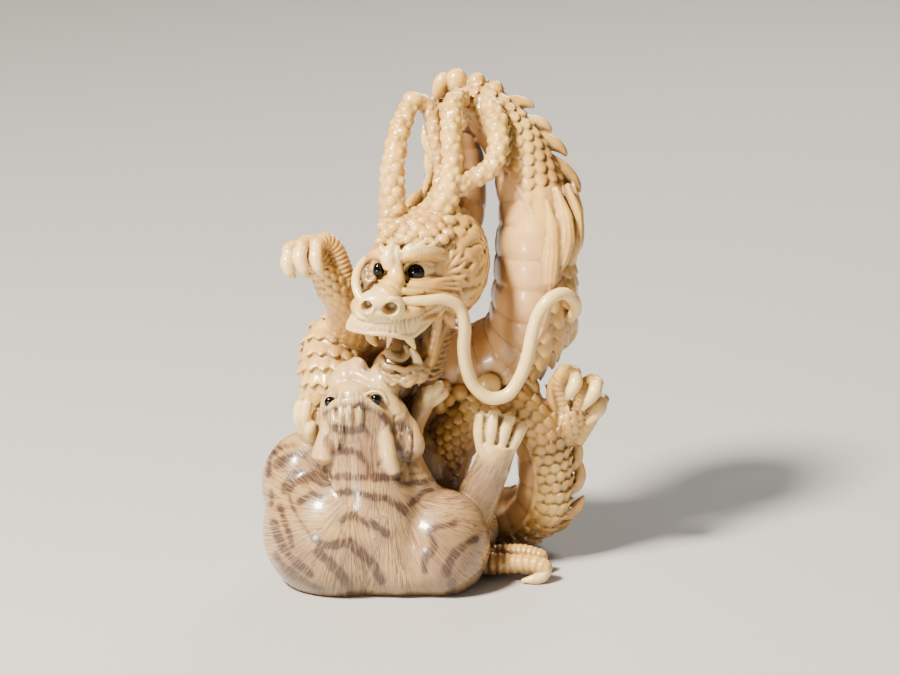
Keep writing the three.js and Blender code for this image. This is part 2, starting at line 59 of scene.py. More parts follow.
def through(points, per_span=24):
    """A smooth line through the points, which never overshoots where they lie close together."""
    p = np.vstack([2 * points[0] - points[1], points, 2 * points[-1] - points[-2]])
    line = []
    w = np.linspace(0, 1, per_span, endpoint=False)[:, None]
    for k in range(1, len(p) - 2):
        a, b, c, d = p[k - 1:k + 3]
        before, here, after = (max(np.linalg.norm(q - r) ** 0.5, 1e-3) for q, r in ((a, b), (b, c), (c, d)))
        leave = ((b - a) / before - (c - a) / (before + here) + (c - b) / here) * here
        reach = ((c - b) / here - (d - b) / (here + after) + (d - c) / after) * here
        bend, twist = 3 * (c - b) - 2 * leave - reach, 2 * (b - c) + leave + reach
        line.append(b + leave * w + bend * w**2 + twist * w**3)
    line.append(p[-2][None])
    return np.vstack(line)


def unit(v):
    """Each row at length one."""
    return v / np.maximum(np.linalg.norm(v, axis=-1, keepdims=True), 1e-9)


class Trail:
    """A smooth line with a radius and a back side, measured along its length in millimetres."""

    def __init__(self, stations, back=(0, -1, 0), backs=None):
        stations = np.array(stations, float)
        self.points = through(stations[:, :3])
        share = np.linspace(0, len(stations) - 1, len(self.points))
        self.radii = np.interp(share, range(len(stations)), stations[:, 3])
        self.run = np.concatenate([[0], np.cumsum(np.linalg.norm(np.diff(self.points, axis=0), axis=1))])
        self.length = self.run[-1]
        if backs is None:
            self.facing = np.tile(np.array(back, float), (len(share), 1))
        else:
            self.facing = through(np.array(backs, float))
        self.heading = unit(np.gradient(self.points, axis=0))

    def part(self, low, high):
        """The stretch of this trail between two distances."""
        inside = (self.run >= low) & (self.run <= high)
        cut = object.__new__(Trail)
        cut.points, cut.radii, cut.facing, cut.heading = (
            rows[inside] for rows in (self.points, self.radii, self.facing, self.heading)
        )
        cut.run = self.run[inside] - self.run[inside][0]
        cut.length = cut.run[-1]
        return cut

    def at(self, s):
        """Centre, way on, way to the back, way across and radius at each distance s."""
        def pick(rows):
            return np.stack([np.interp(s, self.run, rows[:, k]) for k in range(3)], -1)

        onward = unit(pick(self.heading))
        back = pick(self.facing)
        back = unit(back - onward * (back * onward).sum(-1, keepdims=True))
        return pick(self.points), onward, back, np.cross(back, onward), np.interp(s, self.run, self.radii)


# ---- Lumps ----

BATCH = 6000  # vertices, past which new lumps grow slow to add


class Block:
    """Overlapping closed lumps, each with a finish, kept in small batches until they are drawn together."""

    def __init__(self):
        self.bm = bmesh.new()
        self.store = []
        self.places = []
        self.finishes = []

    def keep(self, verts, finish):
        """Notes the places and the finish of a new lump."""
        self.places.append(np.array([v.co for v in verts]))
        self.finishes.append(np.full(len(verts), finish))
        if len(self.bm.verts) > BATCH:
            self.put_by()

    def put_by(self):
        """Stores the lumps added so far as one batch."""
        mesh = bpy.data.meshes.new("batch")
        bmesh.ops.recalc_face_normals(self.bm, faces=self.bm.faces)
        self.bm.to_mesh(mesh)
        self.store.append(mesh)
        self.bm.clear()

    def whole(self):
        """All the batches in one, still as separate lumps."""
        self.put_by()
        joined = bmesh.new()
        for mesh in self.store:
            joined.from_mesh(mesh)
            bpy.data.meshes.remove(mesh)
        return joined

    def sweep(self, trail, sides=14, step=0.3, flat=1.0, cap=0.6, relief=None, finish=HIDE):
        """A limb along a trail: the rings of a sphere set out along it, with rounded ends."""
        rows = max(8, int(trail.length / step))
        verts = bmesh.ops.create_uvsphere(self.bm, u_segments=sides, v_segments=rows, radius=1.0)["verts"]
        start = np.array([v.co for v in verts])
        ring = np.rint(np.arccos(np.clip(start[:, 2], -1, 1)) / math.pi * rows)
        angle = np.arctan2(start[:, 1], start[:, 0])
        s = np.clip((ring - 1) / (rows - 2), 0, 1) * trail.length
        centre, onward, back, across, radius = trail.at(s)
        out = relief(s, angle, radius) if relief else 1.0
        wall = ((ring > 0) & (ring < rows))[:, None]
        around = back * np.cos(angle)[:, None] + across * (np.sin(angle) * flat)[:, None]
        end = onward * np.where(ring == 0, -cap, cap)[:, None]
        reach = (radius * np.ones(len(s)) * out)[:, None]
        for v, p in zip(verts, centre + reach * around * wall + radius[:, None] * end * ~wall):
            v.co = p
        self.keep(verts, finish(angle) if callable(finish) else finish)

    def add(self, mesh):
        """A lump that has been blended already."""
        co, _ = numbers(mesh)
        self.places.append(co)
        self.finishes.append(np.full(len(co), HIDE))
        self.store.append(mesh)

    def limb(self, stations, back=(0, -1, 0), **how):
        """A limb through stations of centre and radius."""
        self.sweep(Trail(stations, back), **how)

    def mass(self, centre, halves, turn=(0, 0, 0), finish=HIDE, fine=4):
        """An egg-shaped mass: centre, half-widths, turn in degrees."""
        at = Matrix.LocRotScale(Vector(centre), Euler([math.radians(a) for a in turn]), Vector(halves))
        made = bmesh.ops.create_icosphere(self.bm, subdivisions=fine, radius=1.0, matrix=at)
        self.keep(made["verts"], finish)

    def bead(self, centre, radius, finish=HIDE):
        self.mass(centre, (radius,) * 3, finish=finish, fine=2)

    def shingle(self, centre, across, onward, out, halves, lift=0.25, droop=0.0, finish=HIDE):
        """A scale: a thin tongue whose rear edge stands up and whose sides droop, narrowing to the rear."""
        verts = bmesh.ops.create_icosphere(self.bm, subdivisions=2, radius=1.0)["verts"]
        wide, long, thick = halves
        for v in verts:
            x, y, z = v.co
            x *= 1 - 0.3 * max(y, 0) ** 2
            rise = z * thick + y * lift - x * x * droop
            v.co = Vector(centre + across * x * wide + onward * y * long + out * rise)
        self.keep(verts, finish)

    def leaf(self, root, tip, half, bow=(0, 0, 0), flat=0.5, finish=HIDE, sides=10, tip_half=0.12):
        """A pointed lock, widest before its middle and curved by bow."""
        root, tip, bow = (np.array(p, float) for p in (root, tip, bow))
        low, high = root + 0.35 * (tip - root) + bow, root + 0.72 * (tip - root) + 0.8 * bow
        stations = [[*root, half * 0.7], [*low, half], [*high, half * 0.68], [*tip, half * tip_half]]
        self.sweep(Trail(stations), sides=sides, step=0.25, flat=flat, cap=0.5, finish=finish)


# ---- Drawing a block into one skin ----

def numbers(mesh):
    """The places and the normals of a mesh's vertices, as rows."""
    co = np.empty(len(mesh.vertices) * 3, np.float32)
    mesh.vertices.foreach_get("co", co)
    normals = np.empty(len(mesh.vertices) * 3, np.float32)
    mesh.vertex_normals.foreach_get("vector", normals)
    return co.reshape(-1, 3).astype(float), normals.reshape(-1, 3).astype(float)


def place(mesh, co):
    """Puts each vertex at its row."""
    mesh.vertices.foreach_set("co", co.astype(np.float32).ravel())
    mesh.update()


def evaluated(obj):
    """A new mesh with the object's modifiers applied."""
    return bpy.data.meshes.new_from_object(obj.evaluated_get(bpy.context.evaluated_depsgraph_get()))


def settle(values, edges, rounds):
    """Each value drawn towards the mean of its neighbours."""
    a, b = edges[:, 0], edges[:, 1]
    count = np.bincount(np.concatenate([a, b]), minlength=len(values)).astype(float)
    count = np.maximum(count, 1)
    shape = values.reshape(len(values), -1)
    for _ in range(rounds):
        summed = np.empty_like(shape)
        for k in range(shape.shape[1]):
            summed[:, k] = np.bincount(a, shape[b, k], len(shape)) + np.bincount(b, shape[a, k], len(shape))
        shape = 0.5 * shape + 0.5 * summed / count[:, None]
    return shape.reshape(values.shape)


def edges_of(mesh):
    """The two vertices of each edge, as rows."""
    edges = np.empty(len(mesh.edges) * 2, np.int32)
    mesh.edges.foreach_get("vertices", edges)
    return edges.reshape(-1, 2)


def near_line(co, line, reach):
    """Which vertices lie within reach of a line of points, and how far off they are."""
    line = np.array(line, float)
    low, high = line.min(0) - reach, line.max(0) + reach
    found = np.where(((co > low) & (co < high)).all(1))[0]
    best = np.full(len(found), 1e9)
    for a, b in zip(line[:-1], line[1:]):
        run = b - a
        share = np.clip(((co[found] - a) @ run) / max(run @ run, 1e-12), 0, 1)
        best = np.minimum(best, np.linalg.norm(co[found] - a - share[:, None] * run, axis=1))
    return found[best < reach], best[best < reach]


def engrave(mesh, strokes):
    """Cuts strokes into the skin: each is a line of points, a half-width and a depth (below 0 it raises)."""
    co, normals = numbers(mesh)
    cut = np.zeros(len(co))
    for line, half, depth in strokes:
        found, off = near_line(co, line, half)
        bite = depth * (1 - (off / half) ** 2) ** 2
        cut[found] = np.where(np.abs(bite) > np.abs(cut[found]), bite, cut[found])
    place(mesh, co - normals * cut[:, None])


def attribute(mesh, name, values):
    """Keeps a number or a row of three for each vertex under a name that the finishes read."""
    kind = "FLOAT" if values.ndim == 1 else "FLOAT_VECTOR"
    made = mesh.attributes.new(name, kind, "POINT")
    made.data.foreach_set("value" if values.ndim == 1 else "vector", values.astype(np.float32).ravel())


def skin_over(block, voxel, polish):
    """One closed skin round a block's lumps, smoothed; the object that carries it."""
    whole = block.whole()
    mesh = bpy.data.meshes.new("lumps")
    whole.to_mesh(mesh)
    whole.free()
    obj = bpy.data.objects.new("lumps", mesh)
    bpy.context.scene.collection.objects.link(obj)
    skin = obj.modifiers.new("skin", "REMESH")
    skin.mode, skin.voxel_size = "VOXEL", voxel
    if polish:
        soften = obj.modifiers.new("soften", "SMOOTH")
        soften.factor, soften.iterations = 0.5, polish
    drawn = evaluated(obj)
    obj.modifiers.clear()
    obj.data = drawn
    return obj, drawn


def blended(block, voxel, polish):
    """A block's lumps drawn into one another until no seam is left, as a lump for another block."""
    obj, drawn = skin_over(block, voxel, polish)
    bpy.data.objects.remove(obj)
    return drawn


def draw_together(block, name, voxel, strokes=(), polish=1, dents=()):
    """A block as one piece: skinned, dented, engraved, thinned and stood on the ground plane."""
    obj, drawn = skin_over(block, voxel, polish)
    for centre, reach, push in dents:
        co, _ = numbers(drawn)
        off = np.linalg.norm((co - np.array(centre)) / np.array(reach), axis=1)
        depth = np.clip(1.3 - 1.3 * off**2, 0, 1) ** 1.2
        place(drawn, co + depth[:, None] * np.array(push))
        # the bottom of each dent is stained brown, dirt together with painted shade
        block.places.append(np.array(centre)[None] + np.array(push) * 0.8)
        block.finishes.append(np.array([DIRT_AND_SHADE]))
    if strokes:
        engrave(drawn, strokes)
    triangles = 2 * len(drawn.polygons)
    if triangles > MOST_FACES:
        thin = obj.modifiers.new("thin", "DECIMATE")
        thin.ratio = MOST_FACES / triangles
    made = evaluated(obj)
    bpy.data.objects.remove(obj)
    co, _ = numbers(made)
    co[:, 2] = np.maximum(co[:, 2], 0)
    place(made, co)
    made.name = name
    made.polygons.foreach_set("use_smooth", np.ones(len(made.polygons), bool))
    return made


def finish_map(mesh, block):
    """The finish of the nearest lump, and how hollow the skin is, on each vertex."""
    places, finishes = np.vstack(block.places), np.concatenate(block.finishes)
    co, normals = numbers(mesh)
    tree = KDTree(len(places))
    for k, p in enumerate(places):
        tree.insert(p, k)
    tree.balance()
    nearest = np.array([tree.find(p)[1] for p in co])
    edges = edges_of(mesh)
    for number, name in ((PALE, "pale"), (BELLY, "belly"), (DIRT_AND_SHADE, "dirt_and_shade")):
        attribute(mesh, name, settle((finishes[nearest] == number).astype(float), edges, 3))
    hollow = ((settle(co, edges, 6) - co) * normals).sum(1)
    attribute(mesh, "hollow", np.clip(settle(hollow, edges, 1) / HOLLOW_DEPTH, -1, 1))


def stand(mesh, material):
    """A finished piece in metres, riding on the root."""
    mesh.transform(Matrix.Scale(MM, 4))
    mesh.materials.clear()
    mesh.materials.append(material)
    obj = bpy.data.objects.new(mesh.name, mesh)
    bpy.context.scene.collection.objects.link(obj)
    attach(obj, "root")
    return obj


# ---- The dragon's body ----

# Stations from the neck to the tail: centre and radius, and the way the back faces.
BODY = [
    (0.4, -1.5, 37.2, 3.6), (2.4, 2.6, 40.4, 3.6), (2.8, 6.0, 44.8, 3.2), (2.5, 7.0, 49.2, 2.8),
    (4.6, 6.4, 51.8, 2.8), (7.4, 5.4, 49.9, 3.2), (9.8, 4.2, 46.0, 3.6), (11.3, 3.0, 41.0, 4.1),
    (11.5, 2.2, 36.0, 4.5), (11.4, 2.4, 30.6, 4.8), (10.2, 3.8, 25.6, 4.7), (5.6, 5.0, 22.2, 4.6),
    (-0.6, 5.4, 22.6, 4.5), (-6.4, 4.8, 25.0, 4.0), (-10.4, 2.2, 25.4, 3.8), (-11.4, -0.4, 21.6, 3.5),
    (-10.7, 0.4, 16.6, 3.4), (-9.8, 3.4, 11.2, 3.7), (-7.6, 6.6, 6.4, 3.9), (-2.8, 8.2, 4.0, 3.9),
    (3.4, 7.4, 3.6, 3.8), (9.0, 4.8, 3.8, 3.6), (12.3, 2.6, 6.4, 3.3), (12.7, 1.6, 11.2, 3.2),
    (11.7, 1.6, 15.4, 3.2), (8.6, 2.2, 18.0, 3.1), (4.6, 2.6, 17.0, 3.1), (2.2, 2.8, 13.4, 3.0),
    (0.8, 2.8, 9.2, 2.8), (-1.6, 2.8, 5.6, 2.2), (-5.2, 2.6, 4.4, 1.2),
]
BODY_BACKS = [
    (0.2, 0.5, 0.9), (-0.2, 0.9, 0.6), (-0.7, 0.7, 0.3), (-0.8, 0.3, 0.5), (0, 0.1, 1), (0.7, 0.1, 0.7),
    (0.95, 0.1, 0.35), (0.9, 0.5, 0.1), (0.6, 0.85, 0), (0.6, 0.8, -0.1), (0.6, 0.7, -0.5),
    (0.3, 0.85, -0.4), (-0.1, 1, 0.1), (-0.5, 0.7, 0.5), (-0.6, 0.2, 0.8), (-1, 0, 0.3), (-0.95, 0.3, 0),
    (-0.8, 0.6, -0.1), (-0.6, 0.8, 0.1), (-0.1, 1, 0.3), (0.2, 1, 0.1), (0.6, 0.6, -0.5),
    (0.95, 0.2, -0.3), (1, 0.2, 0.1), (0.8, 0.1, 0.6), (0.1, 0, 1), (-0.4, 0, 0.9), (-0.8, 0, 0.6),
    (-0.9, 0, 0.4), (-0.8, 0, 0.7), (-0.2, 0, 1),
]
BODY_SPLIT = 88.0  # millimetres from the neck, behind the jaw, where the two halves of the body meet
OVERLAP = 2.0  # millimetres by which each half runs into the other
BELLY_HALF_ANGLE = 1.0  # radians each side of the middle of the belly

# The skin, as shares of the body's radius.
UNDER_SCALES = 0.92
PLATE_LOW, PLATE_RISE = 0.925, 0.055
BELLY_EDGE_RISE, BELLY_EDGE_HALF = 0.075, 0.07  # the second in radians
PLATE_PITCH = 3.192  # of the belly's plates, in millimetres

# The scales: along, a pitch is a share of the radius; across, they stand in columns on each side.
SCALE_PITCH = 0.32
SCALE_COLUMNS = 4
SCALE_SEAT = 0.915  # how far out a scale's middle lies, as a share of the radius
SCALE_HALVES = (0.57, 1.02, 0.062)  # as shares of the gap between columns, the pitch and the radius
SCALE_LIFT, SCALE_DROOP = 0.12, 0.065
SPINE_ANGLE, BELLY_MARGIN = 0.26, 0.12  # radians kept free beside the spine and beside the belly

# The outline of a lobe of the spine: height over the back, way on and half-width, in radii.
LOBE_PITCH = 0.78
LOBE_OUTLINE = (
    (-0.3, -0.34, 0.28), (0.09, -0.1, 0.34), (0.27, 0.25, 0.32), (0.31, 0.55, 0.22), (0.30, 0.85, 0.06),
)


def belly_and_bare_back(start):
    """How far the skin stands out: plates on the belly, between fine edges, and low under the scales."""
    def relief(s, angle, radius):
        from_belly = math.pi - np.abs(angle)
        plate = ((s + start) / PLATE_PITCH) % 1.0
        strip = PLATE_LOW + PLATE_RISE * (1 - (2 * plate - 1) ** 4)
        edge = BELLY_EDGE_RISE * np.exp(-(((from_belly - BELLY_HALF_ANGLE) / BELLY_EDGE_HALF) ** 2))
        return np.where(from_belly < BELLY_HALF_ANGLE, strip, UNDER_SCALES) + edge

    return relief


def belly_or_hide(angle):
    """The finish round the body."""
    return np.where(math.pi - np.abs(angle) < BELLY_HALF_ANGLE, BELLY, HIDE)


def lay_scales(block, trail, low, high):
    """Staggered rows of scales down both sides; only those between low and high are laid."""
    s, row = 1.0, 0
    first, last = SPINE_ANGLE, math.pi - BELLY_HALF_ANGLE - BELLY_MARGIN
    gap = (last - first) / SCALE_COLUMNS
    while s < trail.length - 1.5:
        centre, onward, back, across, radius = (v[0] for v in trail.at(np.array([s])))
        pitch = SCALE_PITCH * radius
        for side in (-1, 1) if low <= s < high else ():
            for k in range(SCALE_COLUMNS + (row % 2)):
                angle = side * (first + (k + (0.0 if row % 2 else 0.5)) * gap)
                out = back * math.cos(angle) + across * math.sin(angle)
                over = np.cross(onward, out)
                at = centre + out * radius * SCALE_SEAT
                halves = np.array(SCALE_HALVES) * (gap * radius, pitch, radius)
                block.shingle(at, over, onward, out, halves, SCALE_LIFT * radius, SCALE_DROOP * radius)
        s += pitch
        row += 1


# The rounded lobes at the top of the arch and on the low coil: centre, half-widths, lean in degrees.
ARCH_KNOBS = [
    ((0.9, 6.2, 53.8), (0.85, 0.9, 1.6), 16),
    ((2.7, 6.3, 54.3), (1.25, 1.2, 1.5), 0),
    ((4.9, 6.1, 54.1), (1.05, 1.1, 1.3), 10),
    ((6.9, 5.8, 53.3), (1.05, 1.1, 1.25), 20),
]
COIL_KNOBS = [
    ((1.3, 0.9, 20.6), (0.85, 0.8, 0.9), 0),
    ((0.8, 0.9, 18.9), (1.1, 0.9, 1.5), 0),
    ((1.9, 0.4, 19.2), (0.7, 0.7, 0.75), 0),
    ((3.1, 0.9, 20.0), (1.0, 0.9, 0.95), 0),
    ((6.3, -0.4, 21.2), (1.4, 0.9, 1.45), 15),
]
# Beyond them on the arch stand blades with free tips: root, tip, half-width.
ARCH_BLADES = [
    ((8.0, 5.4, 52.0), (11.3, 5.4, 51.5), 0.85),
    ((10.4, 5.0, 50.0), (13.2, 5.0, 48.9), 0.85),
    ((11.8, 4.6, 48.2), (14.9, 4.6, 46.2), 0.9),
    ((13.5, 4.2, 45.4), (16.4, 4.2, 42.2), 0.9),
    ((14.8, 3.8, 41.8), (16.6, 3.8, 39.2), 0.7),
]
ARCH_STRETCH = (16.5, 37.0)  # millimetres from the neck over which those lobes stand
BARE_STRETCH = (66.0, 84.0)  # where the spine has no lobes
ARCH_MIDDLE = (6.0, 5.0, 44.0)  # which the blades rise away from
# The outline of a blade: way to the tip and rise, as shares of its length, and share of its half-width.
BLADE_OUTLINE = (
    (-0.25, -0.2, 0.9), (0.25, 0.3, 1.0), (0.62, 0.42, 0.78), (0.88, 0.25, 0.45), (1.0, 0.0, 0.2),
)


def blade(block, root, tip, half):
    """A lobe with a thick root, a full upper edge and a free tip."""
    root, tip = np.array(root), np.array(tip)
    way = tip - root
    rise = unit(np.cross(way, (0, 1, 0)))
    rise = rise * np.sign(rise @ (root - ARCH_MIDDLE))
    stations = [[*(root + along * way + rise * up), half * share] for along, up, share in BLADE_OUTLINE]
    block.sweep(Trail(stations, (0, 1, 0)), sides=18, step=0.15, cap=0.6)


def lay_crest(block, trail, low, high):
    """Rounded, backward-leaning lobes in a row down the spine."""
    s = 3.0
    while s < trail.length - 3:
        centre, onward, back, across, radius = (v[0] for v in trail.at(np.array([s])))
        small = min(1.0, (radius / 4.0) ** 1.5)
        stations = []
        for up, on, half in LOBE_OUTLINE:
            up = 1 + up * (small if up > 0 else 1)
            stations.append([*(centre + back * radius * up + onward * radius * on), half * radius * small])
        elsewhere = ARCH_STRETCH[0] < s < ARCH_STRETCH[1] or BARE_STRETCH[0] < s < BARE_STRETCH[1]
        if low <= s < high and not elsewhere:
            block.sweep(Trail(stations, onward), sides=16, step=0.2, flat=0.85, cap=0.8)
        s += LOBE_PITCH * radius


# The locks of the right flank: stations, and the way each one faces.
FLAMES = (
    ([(15.6, 2.9, 43.4, 0.5), (16.1, 2.7, 40.4, 1.1), (16.0, 2.6, 37.8, 1.2), (15.6, 2.4, 35.2, 0.4)],
     (0.2, -1, 0)),
    ([(14.9, 1.3, 43.6, 0.5), (15.6, 0.7, 40.6, 1.45), (15.6, 0.5, 37.8, 1.6), (15.1, 0.3, 35.8, 1.1),
      (14.6, 0.2, 34.4, 0.25)], (0.6, -1, 0)),
    ([(13.6, 0.3, 43.6, 0.4), (14.3, -0.6, 40.6, 1.3), (14.4, -0.9, 38.0, 1.55), (14.0, -1.1, 35.6, 1.1),
      (13.6, -1.2, 33.8, 0.25)], (1, -0.7, 0)),
    ([(12.6, -0.6, 42.4, 0.25), (13.0, -1.3, 39.8, 0.85), (13.0, -1.6, 37.2, 1.15), (12.8, -1.7, 34.8, 1.3),
      (12.8, -1.7, 33.4, 1.1), (12.8, -1.6, 32.6, 0.5)], (1, -0.4, 0)),
)


def flank_flames(block):
    """Broad pointed locks with fine furrows, lying over one another down the right flank."""
    def furrowed(s, angle, radius):
        return 1 + 0.055 * np.cos(12 * angle)

    block.limb(
        [(11.1, 3.1, 42.8, 3.5), (11.9, 2.4, 39.4, 4.1), (12.0, 2.2, 36.4, 4.3), (11.8, 2.3, 34.8, 4.0)],
        sides=48,
    )
    for stations, side in FLAMES:
        block.limb(stations, back=side, sides=52, step=0.25, flat=0.62, cap=0.8, relief=furrowed)


# ---- The dragon's feet ----

def small_scales(block, trail, pitch=0.78, columns=9, size=0.5):
    """Beady scales all round a short limb."""
    s, row = 0.5, 0
    while s < trail.length:
        centre, onward, back, across, radius = (v[0] for v in trail.at(np.array([s])))
        for k in range(columns):
            angle = 2 * math.pi * (k + 0.5 * (row % 2)) / columns
            out = back * math.cos(angle) + across * math.sin(angle)
            wide = min(size * 1.25, math.pi * radius / columns * 1.12)
            block.shingle(
                centre + out * radius * 0.95, np.cross(onward, out), onward, out,
                (wide, pitch * 0.95, 0.24), 0.12,
            )
        s += pitch
        row += 1


def ribbed(pitch, rise=0.09):
    """Rings round a toe, a pitch apart."""
    def relief(s, angle, radius):
        return 1 + rise * np.cos(2 * math.pi * s / pitch)

    return relief


def claw(block, points, half):
    """A smooth hooked claw with a collar at its root."""
    stations = [
        [*points[0], half * 0.85], [*points[1], half], [*points[2], half * 0.85],
        [*points[3], half * 0.32],
    ]
    block.limb(stations, back=(0.3, -0.9, 0.3), sides=16, step=0.15, cap=0.7, finish=PALE)


def raised_arm(block):
    """The right foreleg, lifted beside the head."""
    forearm = Trail([
        (-8.6, 1.4, 26.4, 2.6), (-9.4, -0.8, 29.0, 2.3), (-9.6, -2.4, 31.4, 2.1),
        (-10.6, -3.7, 33.6, 2.1), (-11.8, -4.4, 35.6, 1.5),
    ])
    block.sweep(forearm, sides=20)
    small_scales(block, forearm, columns=13, pitch=0.85)
    toes = (
        [
            (-12.0, -4.8, 35.4, 0.95), (-13.6, -5.4, 37.3, 0.9), (-14.9, -6.0, 38.4, 0.9),
            (-15.5, -6.9, 38.5, 0.8),
        ],
        [
            (-11.2, -4.6, 35.4, 1.0), (-12.4, -5.1, 37.7, 0.95), (-13.4, -5.7, 39.0, 0.9),
            (-14.1, -6.7, 39.0, 0.8),
        ],
        [
            (-9.0, -4.0, 33.6, 0.95), (-9.8, -4.4, 36.2, 0.95), (-10.7, -4.8, 38.3, 0.95),
            (-11.7, -5.4, 39.2, 0.9), (-12.5, -6.4, 39.0, 0.8),
        ],
    )
    for stations in toes:
        block.limb(stations, sides=18, step=0.09, relief=ribbed(0.55))
        block.bead(stations[-1][:3], 0.85)
    claw(block, [(-15.5, -7.2, 38.2), (-15.7, -7.8, 37.3), (-15.4, -7.9, 36.3), (-14.9, -7.6, 35.5)], 0.78)
    claw(block, [(-14.1, -7.2, 38.8), (-14.3, -7.9, 37.8), (-13.9, -8.1, 36.6), (-13.4, -7.9, 35.6)], 0.78)
    claw(block, [(-12.5, -6.8, 38.8), (-12.6, -7.6, 37.8), (-12.3, -7.8, 36.7), (-11.8, -7.6, 35.8)], 0.75)


def side_foot(block):
    """The foot that grips the air beside the low coil."""
    ankle = Trail([(12.6, 1.6, 13.6, 2.2), (14.8, 1.9, 15.8, 1.9), (15.8, 1.7, 17.6, 1.5)])
    block.sweep(ankle, sides=18)
    small_scales(block, ankle, columns=10)
    toes = (
        [
            (14.9, 1.5, 16.8, 0.9), (14.6, 1.2, 19.0, 0.9), (14.2, 0.6, 21.2, 0.95),
            (14.7, -0.1, 22.5, 0.95), (15.7, -1.0, 22.9, 0.85),
        ],
        [
            (15.7, 1.8, 15.3, 0.95), (16.4, 1.5, 17.7, 0.95), (17.0, 1.0, 20.0, 0.95),
            (17.6, 0.2, 21.3, 0.95), (18.2, -0.6, 21.6, 0.85),
        ],
        [(16.2, 2.0, 14.0, 0.95), (17.6, 1.8, 16.4, 0.9), (18.5, 1.4, 18.3, 0.9), (18.9, 0.6, 19.3, 0.85)],
    )
    for stations in toes:
        block.limb(stations, sides=18, step=0.12, relief=ribbed(0.7, 0.04))
        block.mass(stations[-1][:3], (0.95, 0.8, 0.62), turn=(20, 10, 0))
    claw(block, [(15.9, -1.6, 22.7), (15.9, -2.2, 22.0), (15.4, -2.5, 21.1), (14.9, -2.3, 20.1)], 0.84)
    claw(block, [(18.3, -0.9, 21.6), (18.1, -1.5, 20.9), (17.4, -1.8, 19.9), (16.7, -1.6, 18.7)], 0.84)
    claw(block, [(18.9, 0.2, 19.4), (18.7, -0.5, 18.6), (18.1, -0.8, 17.8), (17.3, -0.7, 16.8)], 0.82)
    block.leaf((13.9, 1.2, 17.4), (13.3, 0.2, 22.0), 0.8, bow=(-0.3, 0, 0), flat=0.8)


def ground_foot(block):
    """The foot that rests on the ground beside the tiger."""
    block.limb([(1.6, 1.2, 2.6, 2.2), (4.4, -2.4, 2.2, 1.7), (6.2, -4.0, 1.9, 1.35)], sides=18)
    toes = (
        (
            [
                (4.6, -4.2, 1.3, 1.2), (6.8, -4.9, 1.75, 1.25), (9.0, -5.2, 1.85, 1.1),
                (11.2, -5.6, 2.0, 1.0), (12.5, -6.0, 1.7, 0.95),
            ],
            0.8,
        ),
        (
            [
                (5.6, -2.0, 1.6, 1.1), (8.2, -2.4, 2.2, 0.95), (10.4, -2.7, 2.3, 0.9),
                (12.2, -3.0, 2.0, 0.8),
            ],
            0.55,
        ),
    )
    for stations, pitch in toes:
        block.limb(stations, back=(0, 0, 1), sides=18, step=0.11, relief=ribbed(pitch, 0.075))
        block.bead(stations[-1][:3], stations[-1][3])
    block.limb([
        (12.6, -6.1, 1.3, 0.8), (12.3, -6.5, 0.75, 0.7), (11.2, -6.8, 0.55, 0.55), (10.0, -6.8, 0.4, 0.2),
    ], sides=14, finish=PALE)
    block.limb([
        (12.3, -3.2, 1.5, 0.7), (12.0, -3.7, 0.8, 0.6), (11.0, -3.9, 0.55, 0.45), (10.0, -3.9, 0.35, 0.2),
    ], sides=14, finish=PALE)


# ---- The dragon's head ----

# The left antler and its two branches come first, then the right one and its branch.
ANTLERS = [
    [
        (-3.9, -4.2, 40.6, 1.55), (-4.3, -3.6, 43.6, 1.3), (-4.2, -2.4, 47.0, 1.2),
        (-3.4, -0.6, 50.8, 1.05), (-2.2, 1.1, 53.1, 1.0),
    ],
    [
        (-1.2, -3.6, 41.4, 0.9), (0.7, -1.0, 43.6, 0.8), (1.0, 0.2, 46.2, 0.75), (0.4, 0.8, 49.4, 0.8),
        (-0.4, 1.9, 52.4, 0.9), (-1.6, 1.6, 53.2, 0.95),
    ],
    [
        (0.9, -3.6, 40.8, 1.7), (1.7, -3.1, 44.0, 1.25), (2.3, -2.4, 46.8, 1.1), (2.1, -1.6, 50.0, 1.05),
        (2.3, 0.8, 53.0, 1.05), (3.4, 3.4, 53.2, 0.9),
    ],
    [
        (1.9, -2.7, 44.8, 1.1), (4.2, -2.1, 45.2, 1.05), (6.3, -1.4, 46.2, 1.05), (7.3, -0.2, 48.2, 1.1),
        (7.1, 1.4, 51.0, 1.1), (6.2, 3.4, 52.6, 1.1),
    ],
]
MANE_CENTRE = (0.7, -1.9, 35.9)
MANE_HALVES = (5.2, 6.0, 6.3)
SKULL_CENTRE = Vector((-1.0, -3.6, 38.2))
SKULL_TURN = (0, 0, -14)
SCALP_HALVES = (3.86, 4.36, 3.78)
SCALP_FOOT = 39.8  # the height below which no bead of the scalp is set
HOLLOW_CENTRE = Vector((-6.5, -7.8, 35.0))
HOLLOW_HALVES = Vector((1.2, 1.7, 2.0))
# Each nostril is pressed in: centre, how far it reaches, and which way it is pushed.
NOSTRILS = (
    ((-4.45, -13.1, 33.5), (0.96, 1.3, 0.82), (0.1, 1.4, 0.2)),
    ((-6.95, -13.1, 33.75), (0.72, 1.3, 0.76), (0.2, 1.3, 0.2)),
)


